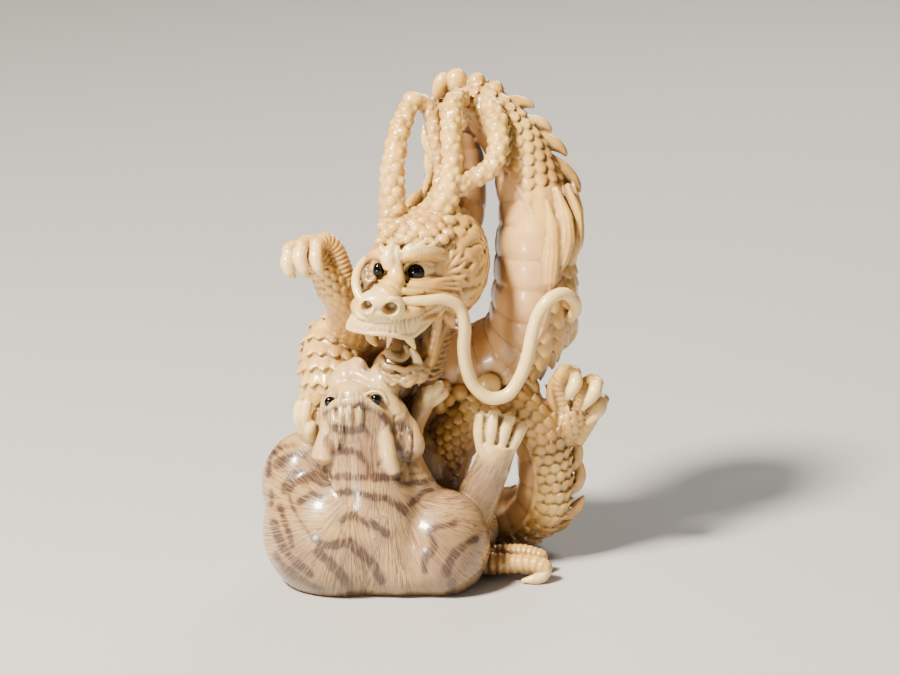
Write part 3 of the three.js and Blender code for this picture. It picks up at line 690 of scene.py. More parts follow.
def knobbly_antlers(block):
    """Stems set all round with beads, as on a coral branch."""
    rng = random.Random(4)
    for stations in ANTLERS:
        stem = Trail(stations, back=(1, -0.4, 0.1))
        block.sweep(stem, sides=20)
        s, row = 0.2, 0
        while s < stem.length:
            centre, onward, back, across, radius = (v[0] for v in stem.at(np.array([s])))
            around = 5 if radius > 0.95 else 4
            for k in range(around):
                angle = 2 * math.pi * (k + 0.5 * (row % 2) + rng.uniform(-0.12, 0.12)) / around
                out = back * math.cos(angle) + across * math.sin(angle)
                size = radius * rng.uniform(0.42, 0.68)
                block.bead(centre + out * (radius - 0.6 * size) + onward * rng.uniform(-0.25, 0.25), size)
            s += 0.98 * radius ** 0.5
            row += 1
        tip = stations[-1]
        block.bead(tip[:3], tip[3] * 0.9)
    # the flattened head of the left antler
    block.mass((-2.0, 1.2, 53.5), (1.2, 1.0, 0.8), turn=(0, 12, 0))


def skull(block):
    """The masses under the scalp, the mane and the forehead, and the beads over them."""
    block.mass(SKULL_CENTRE, (4.3, 4.8, 4.2), turn=SKULL_TURN)
    block.mass(MANE_CENTRE, [h + 0.08 for h in MANE_HALVES])
    block.mass((-4.4, -5.6, 34.8), (2.5, 3.3, 2.9))
    block.mass((-0.8, -6.0, 35.2), (2.6, 2.6, 1.9))
    # forehead, sloping forward to the brows
    block.mass((-2.8, -5.6, 38.8), (3.4, 2.9, 2.4), turn=(20, 0, 0))
    # beads of the scalp, spread evenly over its dome, and lower in front
    turn = Euler([math.radians(a) for a in SKULL_TURN]).to_matrix()
    rng = random.Random(7)
    count = 250
    for k in range(count):
        z = 1 - 2 * (k + 0.5) / count
        ring = math.sqrt(1 - z * z)
        angle = k * math.pi * (3 - math.sqrt(5)) + rng.uniform(-0.12, 0.12)
        way = Vector((ring * math.cos(angle), ring * math.sin(angle), z))
        at = turn @ (way * Vector(SCALP_HALVES)) + SKULL_CENTRE
        if at.z > SCALP_FOOT:
            block.bead(at, 0.74 * rng.uniform(0.75, 1.15))
    for row in range(4):
        for k in range(6):
            x = -5.2 + 1.25 * k + 0.6 * (row % 2)
            y = -8.25 + 0.6 * row + 0.055 * (x + 2.4) ** 2
            at = (x + rng.uniform(-0.2, 0.2), y, 39.7 + 0.6 * row + rng.uniform(-0.2, 0.2))
            block.mass(at, (rng.uniform(0.7, 1.0), 0.6, 0.62), fine=2)


def eyes_and_brows(block):
    """The sockets with their lids, the brows, and the lumps between them."""
    # the white of each eye, almond-shaped, and its two lids
    block.mass((-1.55, -7.8, 36.5), (1.55, 1.2, 1.3), finish=PALE)
    block.mass((-3.0, -8.4, 35.6), (1.0, 0.8, 0.8))
    block.mass((-0.5, -7.7, 36.5), (1.2, 0.8, 0.8), turn=(0, 0, 35), finish=PALE)
    block.mass((-5.6, -8.0, 36.7), (1.1, 1.1, 1.3), finish=PALE)
    lid = dict(sides=12, step=0.12)
    block.limb([
        (-3.2, -9.0, 36.5, 0.25), (-2.7, -9.1, 37.5, 0.3), (-1.7, -8.9, 37.95, 0.3),
        (-0.7, -8.4, 37.6, 0.3), (0.1, -7.8, 37.05, 0.28), (0.8, -7.3, 36.4, 0.2),
    ], **lid)
    block.limb([
        (-3.2, -9.0, 36.4, 0.24), (-2.6, -9.1, 35.5, 0.28), (-1.6, -8.8, 35.1, 0.28),
        (-0.7, -8.3, 35.3, 0.28), (0.1, -7.8, 35.75, 0.26), (0.8, -7.3, 36.3, 0.2),
    ], **lid)
    block.limb([
        (-6.5, -8.1, 36.5, 0.24), (-6.2, -8.6, 37.5, 0.28), (-5.5, -9.0, 37.85, 0.3),
        (-4.8, -9.25, 37.2, 0.3),
    ], **lid)
    block.limb([
        (-6.5, -8.1, 36.5, 0.22), (-6.1, -8.7, 35.75, 0.26), (-5.4, -9.1, 35.5, 0.28),
        (-4.8, -9.3, 36.1, 0.3),
    ], **lid)
    # heavy right brow with its light rim and three flames
    block.limb([
        (-3.3, -9.3, 38.2, 0.6), (-2.2, -9.35, 38.7, 0.92), (-0.7, -8.75, 38.75, 1.0),
        (0.8, -7.7, 38.2, 0.9), (2.0, -6.5, 37.2, 0.5),
    ], sides=16)
    block.limb([
        (-3.2, -9.7, 39.0, 0.2), (-2.1, -9.9, 39.35, 0.24), (-0.8, -9.5, 39.45, 0.26),
        (0.4, -8.7, 39.2, 0.24), (1.3, -7.8, 38.7, 0.18),
    ], sides=10, step=0.15, finish=PALE)
    block.leaf((-3.0, -9.6, 38.9), (-2.0, -9.5, 40.0), 0.42, flat=1.0, finish=PALE, tip_half=0.15)
    block.leaf(
        (-2.2, -9.6, 39.0), (-0.3, -9.1, 40.3), 0.46, bow=(0, -0.1, 0), flat=1.0, finish=PALE,
        tip_half=0.15,
    )
    block.leaf((-1.0, -9.3, 39.1), (0.9, -8.3, 39.9), 0.42, flat=1.0, finish=PALE, tip_half=0.15)
    # left brow, seen from the side, with a flame
    block.limb([
        (-4.9, -9.2, 38.1, 0.5), (-5.6, -8.9, 38.5, 0.75), (-6.4, -8.0, 38.2, 0.7),
        (-6.8, -6.9, 37.3, 0.45),
    ], sides=14)
    block.leaf((-5.2, -9.2, 38.5), (-5.5, -8.9, 39.8), 0.55, flat=1.0)
    # the rough hollow between the left eye and the nose, stained brown with dirt and painted shade
    block.mass(HOLLOW_CENTRE, HOLLOW_HALVES, finish=DIRT_AND_SHADE)
    rng = random.Random(2)
    for k in range(46):
        way = Vector((rng.uniform(-1, 0.4), -rng.uniform(0.3, 1), rng.uniform(-1, 0.9))).normalized()
        block.bead(HOLLOW_CENTRE + way * HOLLOW_HALVES, 0.3, finish=DIRT_AND_SHADE)
    # lumps over the bridge of the nose, and the bridge
    block.limb([
        (-4.4, -9.6, 37.2, 0.8), (-4.65, -9.55, 38.2, 0.92), (-4.5, -9.3, 39.0, 0.7),
        (-4.15, -9.0, 39.9, 0.25),
    ], sides=16, step=0.15, finish=PALE)
    block.limb(
        [(-3.7, -9.6, 37.6, 0.55), (-3.75, -9.5, 38.6, 0.6), (-3.7, -9.1, 39.5, 0.3)], sides=14,
        step=0.15, finish=PALE,
    )
    block.limb([
        (-4.1, -9.3, 38.2, 0.7), (-3.9, -9.7, 37.0, 0.85), (-3.9, -10.3, 35.9, 1.1),
        (-4.4, -11.0, 35.2, 1.4),
    ], sides=18)


def brow_lines():
    """Fine upright strokes over the heavy brow."""
    line = through(
        np.array([
            (-3.4, -9.9, 38.4), (-2.2, -10.3, 38.6), (-0.7, -9.75, 38.65), (0.8, -8.6, 38.2),
            (1.6, -7.6, 37.8),
        ]),
        5,
    )
    return [
        (np.array([p + (-0.1, 0.05, 0.45), p + (0, -0.05, 0), p + (0.05, 0.2, -0.6)]), 0.2, 0.07)
        for p in line
    ]


def snout(block):
    """The nose with its wings, rims and folds."""
    block.limb([(-3.9, -9.6, 35.6, 1.3), (-4.6, -10.8, 34.7, 1.6), (-5.3, -11.6, 34.2, 1.7)], sides=20)
    block.mass((-5.6, -12.0, 34.3), (2.1, 1.5, 1.15), turn=(10, 0, 0), finish=PALE)
    block.mass((-5.5, -11.6, 33.2), (2.3, 1.6, 1.3), finish=PALE)
    # wings of the nostrils
    block.mass((-4.35, -11.9, 33.6), (1.5, 1.4, 1.3), finish=PALE)
    block.mass((-6.75, -12.2, 33.75), (1.2, 1.3, 1.15), finish=PALE)
    # the raised rim of the right wing
    block.limb([
        (-5.0, -13.0, 34.4, 0.25), (-4.2, -13.0, 34.7, 0.3), (-3.4, -12.6, 34.2, 0.34),
        (-3.2, -12.2, 33.4, 0.36), (-3.6, -12.3, 32.7, 0.34), (-4.4, -12.6, 32.4, 0.28),
    ], sides=12, step=0.12, finish=PALE)
    # folds that run back from it
    block.limb([(-3.2, -11.4, 35.1, 0.4), (-2.2, -10.9, 34.8, 0.45), (-0.9, -10.2, 34.6, 0.25)], sides=12)


# The rim of the upper lip from the far side to the corner of the mouth, and the line it springs from.
LIP_EDGE = [
    (-9.1, -9.0, 30.4), (-8.4, -10.2, 30.4), (-7.6, -11.0, 30.5), (-6.9, -11.5, 30.5),
    (-6.0, -11.8, 30.5), (-5.1, -11.9, 30.5), (-4.3, -11.8, 30.4), (-3.4, -11.4, 30.0),
    (-2.7, -10.9, 29.8), (-2.0, -10.4, 29.8), (-1.4, -10.0, 30.2), (-0.7, -9.5, 30.6), (-0.1, -9.0, 31.2),
    (0.6, -8.5, 31.6), (1.2, -8.0, 32.1), (1.7, -7.6, 32.6),
]
LIP_ROOT = [
    (-7.9, -11.0, 31.8), (-7.5, -11.6, 31.9), (-7.0, -12.2, 31.9), (-6.3, -12.5, 31.9),
    (-5.7, -12.6, 31.8), (-4.9, -12.6, 31.8), (-4.1, -12.4, 31.9), (-3.5, -12.0, 32.0),
    (-3.0, -11.6, 32.2), (-2.5, -11.3, 32.5), (-2.1, -11.0, 32.7), (-1.7, -10.7, 32.9),
    (-1.2, -10.4, 33.0), (-0.8, -10.1, 33.2), (-0.3, -9.8, 33.2), (0.3, -9.4, 33.2),
]
LIP_RIDGES, LIP_GROOVES = 56, 21


def lip_lines():
    """The rim of the upper lip and its root, point for point."""
    return through(np.array(LIP_EDGE), 8), through(np.array(LIP_ROOT), 8)


def along_line(line, at):
    """The places on a line at each of the numbers in at, counted in its points."""
    return np.stack([np.interp(at, range(len(line)), line[:, n]) for n in range(3)], -1)


def upper_lip(block):
    """A plate under the nose, spread like a fan and cut into radial ridges."""
    edge, root = lip_lines()
    at = np.linspace(0, len(edge) - 1, LIP_RIDGES)
    for rim, inner in zip(along_line(edge, at), along_line(root, at)):
        behind = inner + (0.1, 1.3, 0.1)
        middle = 0.5 * (inner + rim) + (0, 0.42, 0.2)
        front = rim + (0, 0.15, 0.05)
        block.limb([[*behind, 0.9], [*middle, 0.6], [*front, 0.3]], sides=10, step=0.3, finish=PALE)
    block.limb([[*p, 0.34] for p in along_line(edge, at)[::3]], sides=12, step=0.2, finish=PALE)
    # the mass under the nose, and the folds above the lip on the right, where it runs up to the cheek
    block.mass((-5.4, -10.9, 32.4), (2.9, 1.7, 0.9), turn=(8, 0, 0), finish=PALE)
    block.mass((-1.6, -8.6, 33.4), (2.6, 2.2, 1.5), turn=(0, 0, 35))
    block.mass((-4.0, -10.0, 32.8), (3.4, 2.2, 1.3), turn=(0, 0, -8))
    block.mass((-6.8, -9.4, 32.8), (2.0, 2.2, 1.5))
    block.mass((-3.6, -8.2, 31.6), (4.4, 2.4, 1.0), turn=(8, 0, -6))


def lip_grooves():
    """Strokes that fan out from the nose over the lip, stopping short of its smooth rim."""
    edge, root = lip_lines()
    strokes = []
    rng = random.Random(3)
    for k in range(LIP_GROOVES):
        at = (k + 0.5 + rng.uniform(-0.25, 0.25)) / LIP_GROOVES * (len(edge) - 1)
        rim, inner = along_line(edge, at), along_line(root, at)
        outer = rim + rng.uniform(0.14, 0.42) * (inner - rim) - (0.45 * k / LIP_GROOVES, 0, 0)
        middle = 0.5 * (inner + outer) + (0, -0.25, 0)
        line = through(np.array([inner + (0, -0.05, 0), middle, outer + (0, -0.2, 0)]), 4)
        strokes.append((line, 0.3, rng.uniform(0.05, 0.11)))
    return strokes


def on_mane(slope, turn, out=0.0):
    """A place on the mane's egg: slope from its front and turn round it in degrees, and how far out."""
    slope, turn = math.radians(slope), math.radians(turn)
    way = np.array((math.sin(slope) * math.cos(turn), -math.cos(slope), math.sin(slope) * math.sin(turn)))
    return np.array(MANE_CENTRE) + way * (np.array(MANE_HALVES) + out)


def cheek(block):
    """Long pointed wrinkles that run back from the nose and from the corner of the eye."""
    block.mass((-0.2, -6.9, 34.8), (3.6, 2.2, 1.3), turn=(0, 8, 38))
    block.mass((0.9, -5.2, 36.4), (2.4, 1.8, 1.9), turn=(0, 0, 30))
    for root, middle, tip, half in (
        ((-3.2, -10.9, 35.1), (-0.6, -9.6, 34.5), (2.9, -7.9, 33.5), 0.46),
        ((-2.9, -10.4, 35.4), (-0.1, -9.2, 34.9), (3.3, -7.4, 34.1), 0.42),
        ((-2.4, -9.9, 35.6), (0.3, -8.9, 35.2), (3.6, -7.1, 34.7), 0.38),
        ((-1.4, -9.5, 35.2), (0.8, -8.6, 35.5), (3.6, -6.9, 35.3), 0.34),
    ):
        block.limb([[*root, half * 0.7], [*middle, half], [*tip, half * 0.3]], sides=10, step=0.2)
    rng = random.Random(5)
    for k in range(13):
        turn = -34 + 10 * k
        wave = rng.uniform(3, 7) * (-1) ** k
        start, reach = rng.uniform(8, 14), rng.uniform(50, 60)
        stations = [
            [*on_mane(start, turn, -0.1), 0.16], [*on_mane(24, turn + wave, 0.1), 0.3],
            [*on_mane(38, turn - 0.6 * wave, 0.1), 0.3], [*on_mane(reach, turn + 2, 0.05), 0.1],
        ]
        block.limb(stations, sides=10, step=0.2)


def lock(block, slope, turn, swirl, thick):
    """A flat pointed lock on the side of the head."""
    root, middle = on_mane(slope - 28, turn, -0.5), on_mane(slope - 14, turn - 0.4 * swirl, 0.08)
    late, tip = on_mane(slope - 5, turn + 0.4 * swirl, 0.32), on_mane(slope + 1.5, turn + swirl, 0.36)
    facing = unit((middle - np.array(MANE_CENTRE)) / np.array(MANE_HALVES) ** 2)
    stations = [[*root, thick * 0.6], [*middle, thick], [*late, thick * 0.7], [*tip, 0.13]]
    block.sweep(Trail(stations, facing), sides=16, step=0.25, flat=2.2, cap=0.4)


# The rows of the mane's near side: slope, number of locks, first and last turn in degrees.
MANE_ROWS = ((56, 9, -66, 88), (66, 10, -70, 92), (77, 11, -74, 96), (89, 12, -76, 98), (102, 12, -70, 98))


def mane(block):
    """Layers of locks from the cheek over the side of the neck, plainer round the back and the far side."""
    rng = random.Random(11)
    for number, (slope, count, low, high) in enumerate(MANE_ROWS):
        for k in range(count):
            turn = low + (high - low) * (k + 0.5 * (number % 2)) / (count - 0.5) + rng.uniform(-3, 3)
            swirl = rng.uniform(4, 12) * (1 if turn < 20 else -1)
            lock(block, slope, turn, swirl, rng.uniform(0.32, 0.4))
    for number, slope in enumerate(range(70, 169, 14)):
        all_round = slope > 110
        span = 360 if all_round else 170
        count = max(5, round(span / 360 * 22 * math.sin(math.radians(slope))))
        for k in range(count):
            turn = (0 if all_round else 104) + span * (k + 0.5 * (number % 2)) / count
            lock(block, slope, turn, rng.uniform(-6, 6), 0.32)


def mouth(block):
    """The open jaws with tongue, fangs and beard, and the carved web below them; most of it is stained
    brown, dirt together with painted shade.
    """
    # lower jaw, a strip from the hinge down to the chin, stained with dirt and painted shade, with its flap
    # at the top
    block.limb([
        (2.4, -3.6, 32.0, 1.5), (1.2, -4.9, 30.4, 1.3), (0.3, -5.6, 28.4, 1.15), (-0.5, -6.3, 26.2, 1.2),
        (-1.8, -7.0, 25.0, 1.3), (-3.6, -7.5, 25.0, 1.2),
    ], sides=18, finish=DIRT_AND_SHADE)
    block.limb([
        (0.7, -7.0, 31.6, 0.6), (0.5, -6.7, 29.6, 0.55), (0.1, -6.9, 27.4, 0.55),
        (-0.4, -7.3, 25.6, 0.55),
    ], sides=14, step=0.2, relief=ribbed(0.8, 0.05))
    block.limb([(0.6, -6.4, 31.8, 0.6), (1.8, -5.9, 30.6, 0.75), (2.3, -5.4, 29.4, 0.4)], sides=14)
    # back of the mouth, stained dark as painted shade
    block.mass((-2.4, -3.8, 30.4), (3.6, 2.4, 3.0), finish=DIRT_AND_SHADE)
    block.mass((-2.2, -4.6, 26.4), (2.8, 2.4, 1.8), finish=DIRT_AND_SHADE)
    # tongue, curled up in a hook, stained dark as painted shade
    block.limb([
        (-1.8, -5.4, 27.0, 0.9), (-3.0, -7.4, 26.7, 0.8), (-4.2, -8.6, 26.9, 0.6),
        (-4.75, -9.1, 27.7, 0.45), (-4.5, -9.0, 28.4, 0.3),
    ], sides=14, step=0.15, finish=DIRT_AND_SHADE)
    block.limb([
        (-4.2, -8.7, 26.7, 0.4), (-3.2, -8.6, 26.6, 0.42), (-2.6, -8.4, 27.3, 0.4),
        (-2.9, -8.4, 28.2, 0.3),
    ], sides=12, step=0.15, finish=DIRT_AND_SHADE)
    # fangs
    block.limb(
        [(-2.9, -9.7, 30.0, 0.62), (-2.3, -9.6, 29.0, 0.5), (-1.75, -9.2, 27.9, 0.12)], sides=12,
        step=0.15, finish=PALE,
    )
    block.limb(
        [(-1.5, -8.3, 25.9, 0.6), (-1.75, -8.6, 27.0, 0.45), (-2.25, -8.8, 28.0, 0.12)], sides=12,
        step=0.15, finish=PALE,
    )
    block.limb(
        [(-4.4, -10.4, 30.2, 0.36), (-4.6, -10.2, 29.2, 0.3), (-4.85, -9.9, 28.2, 0.1)], sides=10,
        step=0.15, finish=PALE,
    )
    for k in range(3):
        x = -5.6 + 0.45 * k
        block.limb([(x, -10.4, 30.2, 0.26), (x, -10.2, 29.3, 0.12)], sides=8, step=0.15)
    # the near corner of the lip, hanging on the far side
    block.limb([(-6.7, -9.2, 30.4, 0.7), (-6.6, -8.9, 29.2, 0.62), (-6.0, -8.2, 28.2, 0.35)], sides=12)
    rng = random.Random(9)
    for k in range(46):
        t = rng.random()
        y = -8.3 - 0.7 * math.sin(math.pi * t) + rng.uniform(-0.1, 0.2)
        at = (-5.1 + 4.8 * t, y, 24.9 + rng.uniform(-1.2, 0.7))
        halves = (rng.uniform(0.3, 0.7), 0.4, rng.uniform(0.25, 0.4))
        block.mass(at, halves, turn=(0, rng.uniform(-30, 30), 0), finish=DIRT_AND_SHADE, fine=2)
    # the carved web between the throat, the lower coil and the tiger's head, stained dark as painted shade
    block.mass((-4.2, -1.4, 22.6), (2.6, 2.4, 3.2), finish=DIRT_AND_SHADE)
    block.mass((-1.8, -0.4, 20.6), (2.6, 2.2, 3.6), finish=DIRT_AND_SHADE)
    # lower lip, a wavy band, and the beard under the chin, stained with dirt and painted shade
    block.limb([
        (-5.4, -8.2, 26.9, 0.3), (-5.0, -9.0, 26.0, 0.42), (-3.9, -9.35, 25.85, 0.34),
        (-2.9, -9.2, 25.5, 0.42), (-1.9, -8.9, 25.85, 0.34), (-1.1, -8.4, 25.7, 0.4),
        (-0.2, -7.3, 26.6, 0.3),
    ], sides=14, step=0.15, finish=DIRT_AND_SHADE)
    block.mass((-3.0, -7.6, 24.6), (2.4, 1.5, 1.3), finish=DIRT_AND_SHADE)
    tips = ((-4.6, 23.9), (-3.8, 23.3), (-3.0, 22.9), (-2.2, 22.7), (-1.4, 22.9), (-0.7, 23.4))
    for k, (x, low) in enumerate(tips):
        root, tip = (x + 0.1, -8.5, 25.1), (x - 0.1, -7.5 + 0.1 * k, low)
        block.leaf(root, tip, 0.42, bow=(0.1 * (-1) ** k, -0.25, 0), sides=8, finish=DIRT_AND_SHADE)
    # tufts down the back of the jaw, stained with dirt and painted shade
    for k in range(9):
        x, z = 0.9 - 0.16 * k, 28.9 - 0.62 * k
        root, tip = (x - 0.3, -6.0 - 0.12 * k, z), (x + 1.7, -4.7 - 0.1 * k, z + 0.15)
        block.leaf(
            root, tip, 0.34, bow=(0, 0, -0.2), flat=0.8, sides=8, tip_half=0.2, finish=DIRT_AND_SHADE
        )


LONG_WHISKER = [
    (-3.4, -11.4, 33.9), (-0.7, -10.9, 33.9), (1.4, -10.1, 33.8), (3.0, -9.3, 32.7), (3.6, -8.8, 30.4),
    (3.5, -8.0, 27.8), (3.8, -7.5, 25.3), (4.7, -7.0, 23.0), (6.4, -6.7, 21.6), (8.3, -6.4, 21.9),
    (9.6, -6.0, 23.6), (10.5, -5.5, 26.0), (11.0, -5.0, 28.4), (11.7, -4.8, 30.7), (12.9, -4.4, 32.2),
    (14.4, -3.4, 32.6), (15.6, -2.4, 31.6), (15.9, -1.0, 30.0), (15.2, 0.4, 28.8),
]
SHORT_WHISKER = [
    (-6.6, -11.4, 33.6), (-7.7, -10.7, 34.2), (-8.2, -9.5, 35.4), (-8.0, -7.9, 36.4), (-7.2, -6.2, 37.1),
    (-6.0, -5.0, 37.4),
]
# How thick they are along their length: shares of it, and half-widths.
LONG_TAPER = ((0, 0.1, 0.25, 0.9, 1), (0.55, 0.6, 0.74, 0.72, 0.6))
SHORT_TAPER = ((0, 1), (0.5, 0.5))


def whiskers(block):
    """Smooth strands, the right one in a long loop and the left one round the cheek."""
    for points, (shares, halves) in ((LONG_WHISKER, LONG_TAPER), (SHORT_WHISKER, SHORT_TAPER)):
        along = np.interp(np.linspace(0, 1, len(points)), shares, halves)
        stations = [[*p, half] for p, half in zip(points, along)]
        block.limb(stations, sides=20, step=0.2, back=(0.3, -1, 0.2), finish=PALE)


# ---- The tiger ----

def tiger_body(block):
    """Barrel, haunch, neck and shoulder, blended into one smooth volume."""
    soft = Block()
    soft.mass((-10.2, -5.4, 6.0), (8.7, 8.4, 8.2), turn=(0, 0, 8), fine=5)
    soft.mass((-14.5, -3.0, 11.0), (4.5, 5.0, 5.6), turn=(0, 12, 0), fine=5)
    soft.mass((0.8, -6.7, 4.8), (5.7, 6.6, 6.2), turn=(0, -8, 0), fine=5)
    soft.limb([
        (-7.4, -6.4, 18.0, 4.2), (-7.2, -7.2, 14.4, 4.5), (-6.4, -7.8, 10.0, 5.2), (-5.0, -7.6, 3.4, 5.4),
    ], sides=32)
    soft.limb([
        (-4.4, -5.4, 17.0, 2.6), (-3.7, -6.0, 13.4, 3.0), (-2.4, -6.6, 10.0, 3.5), (-0.6, -7.0, 7.0, 3.8),
    ], sides=28)
    soft.mass((-3.6, -6.6, 3.0), (5.4, 6.2, 4.2), turn=(0, 0, 4), fine=5)
    soft.mass((-2.6, 0.8, 4.0), (10.2, 7.2, 5.1), fine=5)
    soft.mass((-3.0, 3.0, 9.4), (7.2, 4.6, 6.4), fine=5)
    soft.mass((-5.9, -6.2, 2.6), (3.6, 6.3, 3.8), fine=5)
    soft.mass((-1.2, -6.4, 2.8), (3.2, 6.2, 3.9), fine=5)
    block.add(blended(soft, 0.24, 55))
    # tail, lying up against the dragon's coil behind
    block.limb([
        (-13.6, 1.6, 4.0, 1.6), (-14.2, 3.4, 8.0, 1.4), (-13.6, 3.8, 12.0, 1.2), (-12.4, 3.0, 14.8, 0.8),
    ], sides=16)


def tiger_head(block):
    """Thrown back under the dragon's jaw: the muzzle points up, the brow and the ears face the front."""
    soft = Block()
    smooth = dict(sides=20, step=0.2)
    soft.mass((-7.9, -6.2, 18.4), (4.6, 4.6, 4.7))
    soft.mass((-8.3, -7.5, 19.0), (3.7, 3.0, 3.8), turn=(8, 0, 0))
    # lobes of the muzzle
    soft.mass((-10.2, -5.0, 22.7), (1.2, 2.0, 1.7), finish=PALE)
    soft.mass((-9.4, -4.8, 23.2), (1.5, 2.2, 2.05), finish=PALE)
    soft.mass((-8.3, -4.6, 23.5), (1.45, 2.2, 2.15), finish=PALE)
    soft.mass((-5.3, -5.7, 23.0), (1.95, 2.6, 2.45), turn=(0, 4, 0), finish=PALE)
    soft.mass((-8.6, -6.6, 22.0), (2.4, 2.4, 1.7), finish=PALE)
    # cheek below the right eye, and the far cheek
    soft.limb(
        [(-4.9, -6.8, 21.2, 1.3), (-4.0, -6.9, 19.8, 1.5), (-3.5, -7.0, 18.2, 1.6)], **smooth, finish=PALE
    )
    soft.mass((-10.9, -6.2, 19.6), (1.5, 2.6, 3.0), finish=PALE)
    # ridge that runs from the nose across the cheek
    soft.limb([
        (-9.4, -5.6, 24.2, 0.5), (-8.2, -6.2, 24.1, 0.75), (-6.8, -6.8, 23.5, 0.9),
        (-5.6, -7.3, 22.7, 0.95), (-4.7, -7.5, 21.6, 1.0), (-4.0, -7.4, 20.2, 1.1),
    ], **smooth, finish=PALE)
    # ears, broad folds laid back on the neck
    soft.limb([
        (-5.4, -8.4, 20.4, 0.8), (-5.2, -9.4, 18.9, 0.95), (-4.9, -10.2, 17.2, 1.05),
        (-4.6, -10.6, 15.6, 1.05), (-4.1, -10.7, 14.2, 0.9),
    ], **smooth, flat=0.9, finish=PALE)
    soft.limb([(-6.9, -9.0, 18.8, 0.9), (-6.6, -9.7, 17.4, 1.1), (-6.5, -9.9, 16.2, 0.9)], **smooth)
    soft.limb([
        (-11.0, -7.6, 19.6, 0.9), (-11.3, -8.4, 17.8, 1.2), (-11.7, -8.9, 16.2, 1.4),
        (-11.9, -9.1, 15.3, 1.4),
    ], **smooth, finish=PALE)
    # ruff of the right cheek, a flap with a rounded hem
    soft.limb([
        (-3.6, -6.6, 19.4, 1.2), (-2.9, -7.0, 17.8, 1.7), (-2.6, -7.5, 16.4, 1.9),
        (-2.7, -7.9, 15.6, 1.7),
    ], **smooth, back=(0.3, -1, 0.2))
    soft.limb([(-4.4, -8.0, 17.6, 1.4), (-3.9, -8.3, 16.2, 1.5), (-3.9, -8.5, 15.4, 1.2)], **smooth)
    block.places += soft.places
    block.finishes += soft.finishes
    block.add(blended(soft, 0.13, 9))
    # lids of the right eye
    block.limb([
        (-7.2, -8.6, 22.6, 0.2), (-6.3, -8.75, 23.0, 0.22), (-5.4, -8.7, 22.6, 0.22),
        (-4.9, -8.6, 21.7, 0.22),
    ], sides=12, step=0.12, finish=PALE)
    # the brow plate, whose pale upper edge arches over both eyes, and its soft ridges
    block.mass((-8.4, -8.2, 20.2), (3.3, 1.9, 2.35), turn=(-6, 0, 0))
    block.limb([
        (-11.5, -8.1, 20.3, 0.5), (-10.9, -8.9, 21.2, 0.55), (-10.1, -9.4, 21.9, 0.55),
        (-9.0, -9.75, 22.2, 0.55), (-7.7, -9.75, 22.2, 0.55), (-6.8, -9.5, 21.7, 0.55),
        (-5.9, -9.2, 20.9, 0.55), (-5.3, -9.0, 20.2, 0.5), (-5.0, -9.0, 19.4, 0.4),
    ], sides=14, step=0.15, finish=PALE)
    for x, top, lean in ((-10.8, 20.9, 0.25), (-9.9, 21.8, 0.05), (-8.95, 22.1, 0.0), (-7.8, 22.1, 0.0)):
        block.limb([
            (x, -9.5, top, 0.34), (x + lean, -10.35, top - 1.2, 0.4),
            (x + 1.6 * lean, -10.55, top - 2.8, 0.36), (x + 2 * lean, -10.4, top - 4.2, 0.15),
        ], sides=12, step=0.2, finish=PALE)


# Strokes cut into the ears, under the brow and between the toes: points, half-width, depth.
TIGER_CUTS = [
    ([(-7.0, -10.6, 19.0), (-6.0, -10.8, 18.0), (-5.7, -11.4, 16.6), (-5.6, -11.4, 15.4)], 0.35, 0.22),
    ([(-4.0, -8.6, 20.0), (-3.6, -9.4, 18.0), (-3.6, -10.2, 16.2), (-3.4, -10.4, 14.8)], 0.35, 0.3),
    ([(-10.4, -9.4, 19.6), (-10.6, -10.2, 18.2), (-11.1, -10.4, 16.8)], 0.3, 0.2),
    ([(-2.9, -8.2, 19.2), (-2.6, -8.8, 17.4), (-2.7, -9.6, 15.2)], 0.3, 0.12),
    (
        [
            (-12.0, -8.2, 20.9), (-11.2, -9.2, 21.9), (-10.2, -9.7, 22.6), (-9.0, -9.9, 22.9),
            (-7.7, -9.9, 22.9), (-6.8, -9.6, 22.4),
        ],
        0.3, 0.2,
    ),
    ([(6.1, -5.0, 19.2), (5.95, -5.4, 17.6), (5.95, -5.5, 16.2)], 0.45, 0.5),
    ([(7.6, -5.0, 19.2), (7.3, -5.5, 17.6), (7.1, -5.6, 16.2)], 0.45, 0.5),
    ([(8.9, -4.6, 17.9), (8.5, -5.1, 16.8), (8.2, -5.3, 15.6)], 0.45, 0.5),
]


def paw(block, toes, half, back):
    """Rounded toes side by side."""
    for root, middle, tip in toes:
        stations = [[*root, half * 0.85], [*middle, half], [*tip, half * 0.95]]
        block.limb(stations, sides=16, step=0.2, cap=0.8, back=back, finish=PALE)


